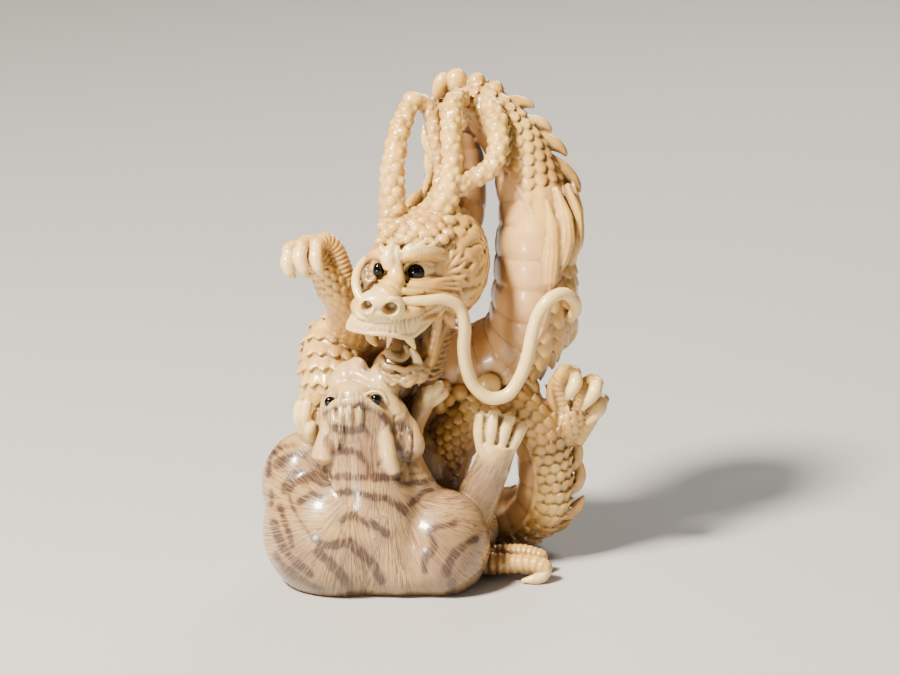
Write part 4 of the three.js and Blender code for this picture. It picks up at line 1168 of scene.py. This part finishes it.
def tiger_legs(block):
    """Both forelegs, raised, and the hind paw."""
    # right foreleg, pressed up against the dragon's coil
    block.limb([
        (2.6, -1.6, 3.0, 2.6), (4.4, -2.6, 7.2, 2.5), (6.0, -3.7, 11.2, 2.05), (6.9, -4.1, 13.6, 1.9),
        (7.3, -4.2, 15.6, 2.0),
    ], sides=24, flat=1.05)
    paw(block, (
        ((5.6, -4.6, 14.6), (5.3, -4.9, 17.2), (5.5, -4.3, 18.9)),
        ((6.5, -5.1, 14.8), (6.6, -5.4, 17.6), (7.0, -4.6, 19.4)),
        ((7.6, -5.0, 14.8), (8.0, -5.2, 17.3), (8.6, -4.6, 18.9)),
        ((8.2, -4.6, 14.2), (9.2, -4.6, 16.2), (10.0, -3.8, 17.6)),
    ), 0.78, (0, -1, 0.2))
    block.mass((8.0, -4.8, 12.8), (0.75, 0.6, 0.75), finish=PALE)
    # left foreleg, reaching up under the dragon's jaw
    block.limb([
        (-3.2, -1.6, 13.6, 2.0), (-2.4, -2.3, 17.2, 1.6), (-1.3, -3.0, 19.4, 1.35),
        (-0.3, -3.4, 21.2, 1.15),
    ], sides=18)
    paw(block, (
        ((-0.9, -4.0, 20.2), (-0.4, -4.4, 21.3), (-0.1, -4.2, 22.0)),
        ((-0.3, -3.8, 20.6), (0.5, -4.2, 21.8), (0.9, -3.8, 22.4)),
        ((0.0, -3.4, 20.0), (0.9, -3.6, 20.8), (1.5, -3.2, 21.3)),
    ), 0.6, (0, -1, 0))
    # hind paw, held up on the left
    block.limb([(-12.4, -2.4, 13.2, 2.1), (-12.9, -3.8, 15.6, 1.55), (-13.5, -4.8, 17.6, 1.35)], sides=18)
    paw(block, (
        ((-14.3, -5.2, 17.2), (-14.7, -5.6, 19.2), (-14.5, -5.2, 20.6)),
        ((-13.7, -5.6, 17.4), (-13.9, -6.2, 19.6), (-13.7, -5.8, 20.9)),
        ((-12.9, -5.2, 16.8), (-12.8, -5.3, 18.6), (-12.5, -4.9, 19.5)),
        ((-13.3, -5.4, 16.6), (-13.4, -6.2, 17.8), (-13.3, -6.2, 18.6)),
    ), 0.66, (0, -1, 0))


# ---- Finishes ----

def node(tree, kind, **values):
    """A shader node; each value is a property of it where it has one of that name, and else a socket."""
    made = tree.nodes.new("ShaderNode" + kind)
    for name, value in values.items():
        if hasattr(made, name):
            setattr(made, name, value)
        else:
            made.inputs[name.replace("_", " ")].default_value = value
    return made


def ramp(tree, source, stops):
    """Straight steps from one value to the next, given as (at, value)."""
    made = tree.nodes.new("ShaderNodeValToRGB")
    while len(made.color_ramp.elements) < len(stops):
        made.color_ramp.elements.new(0.5)
    for element, (at, value) in zip(made.color_ramp.elements, stops):
        element.position = at
        element.color = (value, value, value, 1)
    tree.links.new(source, made.inputs["Fac"])
    return made.outputs["Color"]


def blend(tree, share, one, other):
    """One colour over another, by a share from 0 to 1."""
    made = tree.nodes.new("ShaderNodeMix")
    made.data_type = "RGBA"
    for socket, value in ((0, share), (6, one), (7, other)):
        if isinstance(value, bpy.types.NodeSocket):
            tree.links.new(value, made.inputs[socket])
        else:
            made.inputs[socket].default_value = value if socket == 0 else (*value, 1)
    return made.outputs[2]


def maths(tree, how, one, other=0.0, clamp=False):
    """One step of arithmetic on two sockets or numbers."""
    made = tree.nodes.new("ShaderNodeMath")
    made.operation, made.use_clamp = how, clamp
    for socket, value in ((0, one), (1, other)):
        if isinstance(value, bpy.types.NodeSocket):
            tree.links.new(value, made.inputs[socket])
        else:
            made.inputs[socket].default_value = value
    return made.outputs[0]


def times(tree, one, other):
    """The product of two sockets or numbers."""
    return maths(tree, "MULTIPLY", one, other)


def read(tree, name, output="Fac"):
    """What the skin carries under a name."""
    made = tree.nodes.new("ShaderNodeAttribute")
    made.attribute_name = name
    return made.outputs[output]


def noise(tree, source, scale, detail=3.0, roughness=0.5):
    """Clouds that vary from 0 to 1."""
    made = node(tree, "TexNoise", Scale=scale, Detail=detail, Roughness=roughness)
    tree.links.new(source, made.inputs["Vector"])
    return made.outputs["Fac"]


CREAM = (0.88, 0.56, 0.15)
HONEY = (0.62, 0.33, 0.08)
PALE_CREAM = (0.90, 0.66, 0.28)
ROSE_CREAM = (0.68, 0.39, 0.17)
# the brown of dirt in the cuts, of real patina and of painted shade between the forms
DIRT_AND_SHADE_BROWN = (0.10, 0.056, 0.032)
GREY_CREAM = (0.56, 0.37, 0.18)
STRIPE_BROWN = (0.07, 0.035, 0.022)
# the brown of the hair lines, and of the browning that is partly painted shade
HAIR_AND_SHADE_BROWN = (0.17, 0.09, 0.05)

# How much of a tint its places take.
GREY_SHARE, PALE_SHARE, BELLY_SHARE, DIRT_AND_SHADE_SHARE = 0.72, 0.85, 0.8, 0.6
HAIR_SHARE, WEAR_AND_SHADE_SHARE = 0.9, 0.68
DASH_SHARE, BETWEEN_DASHES = 0.55, 0.44
CUT_DIRT, TIGER_CUT_DIRT = 0.7, 0.5
SHADE_SHARE, PALE_SPARED = 0.8, 0.45  # painted shade, with some real patina, in the hollows between forms, and how much less on pale places
SHADE_REACH = 0.0045  # metres
CLOUD_SCALE, GRAIN_SCALE = 190.0, 2600.0  # per metre
GRAIN_DEPTH = 0.00004  # metres


def engraved_coat(tree, colour):
    """Hair lines and stripes over a colour, and with it where the lines are cut."""
    hair, stripe = read(tree, "hair", "Vector"), read(tree, "stripe")
    furred = maths(tree, "SUBTRACT", 1.0, read(tree, "bare"), True)

    def hair_noise(stretch, detail, roughness):
        mapping = node(tree, "Mapping", Scale=stretch)
        tree.links.new(hair, mapping.inputs["Vector"])
        return noise(tree, mapping.outputs["Vector"], 1.0, detail, roughness)

    near, far = hair_noise((1.0, 1.0, 1.0), 2.0, 0.6), hair_noise((2.2, 1.0, 1.0), 2.0, 0.6)
    fine = blend(tree, read(tree, "far"), near, far)
    broad = hair_noise((0.35, 0.5, 1.0), 1.0, 0.5)
    # lines run where the fine noise crosses its middle, fainter in patches
    off_line = maths(tree, "ABSOLUTE", maths(tree, "SUBTRACT", fine, 0.5))
    line = times(tree, ramp(tree, off_line, ((0.02, 1.0), (0.065, 0.0))), furred)
    drawn = times(tree, line, ramp(tree, broad, ((0.3, 0.35), (0.6, 1.0))))
    colour = blend(tree, times(tree, drawn, HAIR_SHARE), colour, HAIR_AND_SHADE_BROWN)
    # round the stripes the coat is browner, and in patches it is browner still, partly from handling and
    # partly as painted shade
    sooty = ramp(tree, times(tree, maths(tree, "ADD", stripe, 3.0), 0.25), ((0.3, 0.0), (0.75, 0.45)))
    browned_and_shaded = maths(tree, "MAXIMUM", sooty, times(tree, read(tree, "wear_and_shade"), WEAR_AND_SHADE_SHARE))
    colour = blend(tree, times(tree, browned_and_shaded, furred), colour, HAIR_AND_SHADE_BROWN)
    # stripes have ragged edges and are made of short dashes
    ragged = maths(tree, "ADD", stripe, times(tree, maths(tree, "SUBTRACT", broad, 0.42), 0.8))
    inside = ramp(tree, maths(tree, "ADD", times(tree, ragged, 0.8), 0.5), ((0.38, 0.0), (0.66, 1.0)))
    dash = ramp(tree, off_line, ((0.05, 1.0), (0.15, 0.0)))
    dark = times(tree, inside, maths(tree, "ADD", times(tree, dash, DASH_SHARE), BETWEEN_DASHES))
    return blend(tree, times(tree, dark, furred), colour, STRIPE_BROWN), line


def ivory(name, tiger=False):
    """Polished ivory, darker where dirt has settled in the cuts, with painted shade and some real patina
    between the forms; the tiger's has hair and stripes.
    """
    made = bpy.data.materials.new(name)
    made.use_nodes = True
    tree = made.node_tree
    shader = tree.nodes["Principled BSDF"]
    where = node(tree, "TexCoord").outputs["Object"]
    cloud = noise(tree, where, CLOUD_SCALE)
    height = noise(tree, where, GRAIN_SCALE, 2.0)
    colour = blend(tree, ramp(tree, cloud, ((0.35, 0.0), (0.65, 1.0))), CREAM, HONEY)
    if tiger:
        colour = blend(tree, GREY_SHARE, colour, GREY_CREAM)
    colour = blend(tree, times(tree, read(tree, "pale"), PALE_SHARE), colour, PALE_CREAM)
    colour = blend(tree, times(tree, read(tree, "belly"), BELLY_SHARE), colour, ROSE_CREAM)
    if tiger:
        colour, line = engraved_coat(tree, colour)
        height = maths(tree, "SUBTRACT", times(tree, height, 0.3), line)
    # dirt in the cuts; painted shade, with some real patina, deep between the forms; and the places stained
    # with dirt and painted shade
    hollow = maths(tree, "ADD", times(tree, read(tree, "hollow"), 0.5), 0.5)
    cut = ramp(tree, hollow, ((0.5, 0.0), (0.95, 1.0)))
    # ambient occlusion darkens the colour where forms crowd together: painted shade
    shut = node(tree, "AmbientOcclusion", samples=6, Distance=SHADE_REACH)
    shaded = ramp(tree, shut.outputs["AO"], ((0.1, 1.0), (0.9, 0.0)))
    kept = maths(tree, "SUBTRACT", SHADE_SHARE, times(tree, read(tree, "pale"), PALE_SPARED))
    for share in (
        times(tree, cut, TIGER_CUT_DIRT if tiger else CUT_DIRT), times(tree, shaded, kept),
        times(tree, read(tree, "dirt_and_shade"), DIRT_AND_SHADE_SHARE),
    ):
        colour = blend(tree, share, colour, DIRT_AND_SHADE_BROWN)
    tree.links.new(colour, shader.inputs["Base Color"])
    rough = maths(tree, "ADD", maths(tree, "ADD", 0.24, times(tree, cloud, 0.12)), times(tree, cut, 0.2))
    tree.links.new(rough, shader.inputs["Roughness"])
    bump = node(tree, "Bump", Strength=0.6 if tiger else 0.25, Distance=GRAIN_DEPTH)
    tree.links.new(height, bump.inputs["Height"])
    tree.links.new(bump.outputs["Normal"], shader.inputs["Normal"])
    for socket, value in (
        ("Subsurface Weight", 0.18), ("Subsurface Radius", (1.0, 0.55, 0.28)),
        ("Subsurface Scale", 0.0005), ("Coat Weight", 0.4), ("Coat Roughness", 0.12), ("IOR", 1.54),
    ):
        shader.inputs[socket].default_value = value
    return made


def black_inlay():
    """Polished black for the eyes."""
    made = bpy.data.materials.new("black_inlay")
    made.use_nodes = True
    shader = made.node_tree.nodes["Principled BSDF"]
    shader.inputs["Base Color"].default_value = (0.002, 0.002, 0.002, 1)
    shader.inputs["Roughness"].default_value = 0.08
    shader.inputs["Specular IOR Level"].default_value = 0.35
    return made


# ---- Hair and stripes of the tiger ----

# Stripes, as lines of (sideways, upwards) seen from the front and slightly above, with half-widths.
STRIPES = [
    ([(-11.3, 15.4), (-10.7, 15.7), (-9.6, 15.5), (-8.5, 15.4), (-7.7, 15.7)], 0.42),
    ([(-8.1, 18.2), (-6.9, 17.9), (-5.9, 17.5), (-5.0, 16.4)], 0.3),
    ([(-11.7, 17.3), (-11.2, 17.6), (-10.7, 17.8)], 0.2),
    ([(-11.2, 12.8), (-10.0, 13.1), (-8.5, 13.1), (-7.6, 12.5), (-7.0, 11.6), (-6.9, 10.7)], 0.36),
    ([(-12.6, 11.4), (-11.8, 11.0), (-11.0, 10.3)], 0.4),
    ([(-11.4, 10.1), (-9.8, 10.4), (-8.1, 10.3), (-6.7, 10.3), (-5.2, 10.3), (-3.8, 10.1)], 0.42),
    ([(-10.3, 8.5), (-9.2, 8.7), (-7.6, 8.5), (-6.3, 8.1), (-5.0, 8.0), (-4.1, 7.4), (-2.9, 6.6)], 0.38),
    ([(-9.9, 5.6), (-9.2, 6.0), (-8.3, 6.0), (-7.5, 5.4)], 0.36),
    ([(-6.9, 5.2), (-5.9, 4.9), (-5.1, 4.1)], 0.36),
    ([(-16.0, 9.0), (-14.9, 10.1), (-13.2, 10.4), (-11.6, 9.7)], 0.7),
    ([(-14.5, 7.5), (-13.4, 8.2), (-12.4, 8.0)], 0.4),
    ([(-15.8, 8.5), (-15.1, 6.7), (-13.1, 3.7)], 0.14),
    ([(-16.7, 6.9), (-16.3, 5.8), (-15.6, 4.0), (-15.3, 2.7)], 0.3),
    ([(-17.8, 8.7), (-17.7, 7.2)], 0.15),
    ([(-17.4, 5.2), (-16.7, 3.4), (-15.8, 1.8), (-14.6, 0.7), (-13.2, -0.5)], 0.42),
    (
        [
            (-12.8, 3.6), (-11.8, 2.9), (-10.3, 3.0), (-9.0, 3.1), (-7.9, 2.2), (-6.9, 1.2), (-6.1, 0.1),
            (-5.5, -1.2),
        ],
        0.45,
    ),
    ([(-12.3, 2.1), (-11.2, 0.9), (-10.1, -0.2), (-9.2, -1.5), (-8.8, -3.0)], 0.48),
    ([(-17.1, 1.4), (-16.0, 0.1), (-14.5, -1.0), (-12.1, -2.3)], 0.4),
    ([(-17.6, 12.8), (-16.7, 13.4), (-15.1, 13.8)], 0.3),
    ([(-17.1, 11.6), (-15.8, 12.3), (-14.1, 12.8)], 0.45),
    ([(-18.0, 12.4), (-18.2, 10.3)], 0.28),
    ([(-0.5, 4.3), (0.6, 4.8), (2.4, 5.1)], 0.38),
    ([(-0.3, 4.0), (0.3, 2.7), (-0.7, 1.4), (-0.8, 0.0)], 0.42),
    ([(1.5, -0.2), (2.2, 1.4), (3.4, 2.7), (4.8, 3.4)], 0.5),
    ([(2.3, -1.3), (1.9, -2.6)], 0.35),
    ([(-2.3, 7.3), (-1.2, 8.3), (-0.1, 8.9)], 0.3),
    ([(-3.4, 9.5), (-2.1, 9.6), (-0.6, 9.7)], 0.33),
    ([(-3.6, 10.7), (-2.3, 10.6), (-1.0, 10.7)], 0.22),
    ([(-3.6, 16.4), (-3.2, 15.1), (-3.2, 14.0), (-3.4, 11.6)], 0.26),
    ([(-2.6, 15.6), (-2.0, 14.4), (-2.2, 12.9), (-2.6, 11.4)], 0.3),
    ([(-3.9, 16.5), (-4.3, 15.1), (-4.0, 13.3), (-4.2, 11.8)], 0.14),
]
# Where the coat is browner, partly from handling and partly as painted shade, laid out as the stripes are,
# with how far it reaches.
WEAR_AND_SHADE_PATCHES = [
    ((-7.0, 12.4), 3.8), ((2.4, 1.6), 5.6), ((-14.8, 1.0), 3.8), ((5.4, 9.5), 3.6), ((-15.5, 12.0), 2.6),
    ((-2.8, 11.5), 2.6),
]
FRONT_RISE = math.radians(16)  # how steeply from above the stripes are laid out
BACK_MIRROR = -4.0  # a place seen from behind is this less its place across
NO_STRIPE = -3.0
# Where the hair of the barrel and of the shoulder spreads from, laid out as the stripes are, and how far
# above its crown it seems to start where it is straighter.
BARREL_CROWN, BARREL_SHIFT = (-8.6, 6.0), 3.2
SHOULDER_CROWN, SHOULDER_SHIFT = (-4.6, 8.0), 2.0
HAIR_SPREAD = 5.0  # millimetres from a crown at which the lines lie at their pitch
HAIR_PITCH = 0.3  # millimetres between hair lines
HAIR_RUN, HAIR_DEPTH = 0.3, 0.1  # how fast they change along and from front to back, per millimetre
# The right foreleg, along which its hair runs.
LEG_LINE, LEG_REACH = [(4.4, -3.0, 7.0), (6.2, -4.4, 11.2), (7.4, -4.9, 16.0)], 3.0
LEG_LEAN = (0.5, 0.85)
# Places on the head where no hair grows, with how far each reaches.
BARE_PLACES = (
    ((-8.2, -5.6, 23.6), 3.8), ((-6.0, -8.2, 22.4), 2.4), ((-4.4, -7.6, 20.8), 2.0),
    ((-4.9, -10.6, 18.0), 1.2), ((-4.7, -11.0, 16.8), 1.4), ((-4.4, -11.2, 15.4), 1.3),
    ((-12.3, -9.8, 15.8), 1.7), ((-11.6, -8.6, 18.6), 1.2),
)


def mark_hair(mesh, co, height):
    """Where each vertex lies across and along the hair, and how far it is from where the hair starts."""
    x, y, z = co.T

    def share(low, high):
        return np.clip((x - low) / (high - low), 0, 1)

    def fan(crown, sideways, shift):
        over, down = x - crown[0], crown[1] - height
        return np.arctan2(over, shift * sideways + down) * HAIR_SPREAD, np.hypot(over, down)

    barrel = fan(BARREL_CROWN, share(-12.0, -8.0), BARREL_SHIFT)
    shoulder = fan(SHOULDER_CROWN, 1 - share(-5.0, -1.0), SHOULDER_SHIFT)
    on_shoulder = (x > -5.2 - 0.22 * (SHOULDER_CROWN[1] - height)).astype(float)
    on_shoulder = settle(on_shoulder, edges_of(mesh), 4) > 0.5
    across = np.where(on_shoulder, shoulder[0], barrel[0])
    along = np.where(on_shoulder, shoulder[1], barrel[1])
    # over the neck and the head it runs straight up
    right_of_flank = x > -11.6 + 0.77 * np.maximum(10.2 - height, -1.3)
    left_of_shoulder = (x < -4.6) | (height > 9.6)
    upright = (height > BARREL_CROWN[1]) & right_of_flank & left_of_shoulder
    column = np.arctan2(x - BARREL_CROWN[0], BARREL_SHIFT) * HAIR_SPREAD
    across, along = np.where(upright, column, across), np.where(upright, height, along)
    leg = near_line(co, LEG_LINE, LEG_REACH)[0]
    across[leg] = LEG_LEAN[1] * x[leg] - LEG_LEAN[0] * z[leg]
    along[leg] = LEG_LEAN[0] * x[leg] + LEG_LEAN[1] * z[leg]
    attribute(mesh, "hair", np.stack([across / HAIR_PITCH, along * HAIR_RUN, y * HAIR_DEPTH], -1))
    attribute(mesh, "far", np.where(upright, 0.25, np.clip((along - 3.0) / 3.0, 0, 1)))


def mark_coat(mesh):
    """The hair, how far inside a stripe each vertex lies, how browned it is by handling and by painted
    shade, and where no hair grows.
    """
    co, normals = numbers(mesh)
    x, y, z = co.T
    height = z * math.cos(FRONT_RISE) + y * math.sin(FRONT_RISE)
    mark_hair(mesh, co, height)
    # behind, the same stripes lie mirrored
    mirrored = np.where(normals[:, 1] > 0.3, BACK_MIRROR - x, x)
    flat = np.stack([mirrored, height, np.zeros(len(co))], -1)
    stripe = np.full(len(co), NO_STRIPE)
    for line, half in STRIPES:
        line = through(np.array([(*p, 0.0) for p in line]), 5)
        found, off = near_line(flat, line, half + 1.5)
        stripe[found] = np.maximum(stripe[found], half - off)
    attribute(mesh, "stripe", stripe)
    # patches browned partly by handling and partly as painted shade
    wear_and_shade = np.zeros(len(co))
    for (across_at, up_at), reach in WEAR_AND_SHADE_PATCHES:
        off = ((x - across_at) ** 2 + (height - up_at) ** 2) / reach**2
        wear_and_shade = np.maximum(wear_and_shade, np.exp(-off))
    attribute(mesh, "wear_and_shade", wear_and_shade)
    bare = np.zeros(len(co))
    for middle, reach in BARE_PLACES:
        bare = np.maximum(bare, np.clip(3 - 3 * np.linalg.norm(co - middle, axis=1) / reach, 0, 1))
    bare += np.clip((z - 13.5) / 1.5, 0, 1) * (x > 3.0)
    bare += np.clip((z - 15.0) / 1.5, 0, 1) * ((x < -12.0) | ((x > -2.0) & (x < 3.0)))
    attribute(mesh, "bare", np.clip(bare, 0, 1))


# ---- The work ----

dragon_hide = ivory("polished_ivory")
tiger_coat = ivory("engraved_ivory", tiger=True)
inlay = black_inlay()

pieces = []
body_trail = Trail(BODY, backs=BODY_BACKS)
for name, low, high, knobs, blades in (
    ("dragon_upper_body", 0.0, BODY_SPLIT, ARCH_KNOBS, ARCH_BLADES),
    ("dragon_lower_body", BODY_SPLIT, body_trail.length, COIL_KNOBS, ()),
):
    body_block = Block()
    start = max(low - OVERLAP, 0)
    body_block.sweep(
        body_trail.part(start, high + OVERLAP), sides=72, step=0.33, cap=0.4,
        relief=belly_and_bare_back(start), finish=belly_or_hide,
    )
    lay_scales(body_block, body_trail, low, high)
    lay_crest(body_block, body_trail, low, high)
    if low == 0:
        flank_flames(body_block)
    for centre, halves, lean in knobs:
        body_block.mass(centre, halves, turn=(0, lean, 0))
    for root, tip, half in blades:
        blade(body_block, root, tip, half)
    body_mesh = draw_together(body_block, name, BODY_VOXEL)
    finish_map(body_mesh, body_block)
    pieces.append((body_mesh, dragon_hide))

limbs_block = Block()
for lay in (raised_arm, side_foot, ground_foot, whiskers):
    lay(limbs_block)
limbs_mesh = draw_together(limbs_block, "dragon_feet_and_whiskers", LIMBS_VOXEL)
finish_map(limbs_mesh, limbs_block)
pieces.append((limbs_mesh, dragon_hide))

head_block = Block()
for lay in (knobbly_antlers, skull, eyes_and_brows, snout, upper_lip, cheek, mane, mouth):
    lay(head_block)
head_mesh = draw_together(
    head_block, "dragon_head", HEAD_VOXEL, dents=NOSTRILS, strokes=lip_grooves() + brow_lines()
)
finish_map(head_mesh, head_block)
pieces.append((head_mesh, dragon_hide))

tiger_block = Block()
for lay in (tiger_body, tiger_head, tiger_legs):
    lay(tiger_block)
tiger_strokes = [(through(np.array(line), 6), half, depth) for line, half, depth in TIGER_CUTS]
tiger_mesh = draw_together(tiger_block, "tiger", TIGER_VOXEL, polish=2, strokes=tiger_strokes)
finish_map(tiger_mesh, tiger_block)
mark_coat(tiger_mesh)
pieces.append((tiger_mesh, tiger_coat))

for mesh, coat in pieces:
    shown = stand(mesh, coat)
    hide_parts("carving")

# Each eye: the inlay it stands for, its centre, its radius and how wide it is for its height.
EYES = {
    "eye_of_dragon_left": ("dragon_eye_left", (-5.75, -8.92, 36.72), 0.9, 0.7),
    "eye_of_dragon_right": ("dragon_eye_right", (-1.65, -8.62, 36.42), 0.95, 1.0),
    "eye_of_tiger_left": ("tiger_eye_left", (-11.1, -8.3, 21.6), 0.66, 1.0),
    "eye_of_tiger_right": ("tiger_eye_right", (-6.1, -9.15, 22.15), 0.64, 1.0),
}
EYE_FLATNESS = 0.75
for name, (cad_node, centre, radius, width) in EYES.items():
    ball = bmesh.new()
    set_in = Matrix.LocRotScale(Vector(centre), None, Vector((width, EYE_FLATNESS, 1.0)))
    bmesh.ops.create_uvsphere(ball, u_segments=32, v_segments=20, radius=radius, matrix=set_in)
    mesh = bpy.data.meshes.new(name)
    ball.to_mesh(mesh)
    ball.free()
    mesh.polygons.foreach_set("use_smooth", np.ones(len(mesh.polygons), bool))
    eye = stand(mesh, inlay)
    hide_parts(cad_node)


# ---- Floor, light and camera ----

def floor():
    """A plain pale floor, far larger than the carving."""
    bm = bmesh.new()
    bmesh.ops.create_grid(bm, x_segments=1, y_segments=1, size=2.0)
    mesh = bpy.data.meshes.new("floor")
    bm.to_mesh(mesh)
    bm.free()
    made = bpy.data.materials.new("pale_floor")
    made.use_nodes = True
    shader = made.node_tree.nodes["Principled BSDF"]
    shader.inputs["Base Color"].default_value = (0.50, 0.485, 0.46, 1)
    shader.inputs["Roughness"].default_value = 0.7
    mesh.materials.append(made)
    obj = bpy.data.objects.new("floor", mesh)
    bpy.context.scene.collection.objects.link(obj)


def lamp(name, at, towards, size, power, colour):
    """A round soft lamp: place and size in metres, power in watts."""
    light = bpy.data.lights.new(name, "AREA")
    light.shape, light.size, light.energy, light.color = "DISK", size, power, colour
    obj = bpy.data.objects.new(name, light)
    obj.location = at
    obj.rotation_euler = (Vector(towards) - Vector(at)).to_track_quat("-Z", "Y").to_euler()
    bpy.context.scene.collection.objects.link(obj)


floor()
MIDDLE = (0.0, 0.0, 0.027)
lamp("key", (-0.21, -0.19, 0.35), MIDDLE, 0.08, 8.0, (1.0, 0.91, 0.78))
lamp("fill", (0.30, -0.24, 0.14), MIDDLE, 0.28, 0.12, (0.97, 0.97, 1.0))
lamp("glint", (-0.19, -0.28, 0.03), MIDDLE, 0.04, 0.5, (1.0, 0.96, 0.9))
lamp("back", (0.12, 0.30, 0.26), MIDDLE, 0.2, 1.0, (1.0, 0.97, 0.93))
world = bpy.data.worlds.new("studio")
world.use_nodes = True
world.node_tree.nodes["Background"].inputs["Color"].default_value = (0.80, 0.82, 0.85, 1)
world.node_tree.nodes["Background"].inputs["Strength"].default_value = 0.05
bpy.context.scene.world = world

CAMERA_TARGET = Vector((2.0, 0.0, 26.6)) * MM
CAMERA_DISTANCE = 450 * MM
CAMERA_RISE = math.radians(16)
LENS, SENSOR = 162, 36  # millimetres
camera_data = bpy.data.cameras.new("camera")
camera_data.lens, camera_data.sensor_width = LENS, SENSOR
camera_data.clip_start, camera_data.clip_end = 0.01, 20
camera = bpy.data.objects.new("camera", camera_data)
back = Vector((0, -math.cos(CAMERA_RISE), math.sin(CAMERA_RISE)))
camera.location = CAMERA_TARGET + back * CAMERA_DISTANCE
camera.rotation_euler = (-back).to_track_quat("-Z", "Y").to_euler()
bpy.context.scene.collection.objects.link(camera)
bpy.context.scene.camera = camera
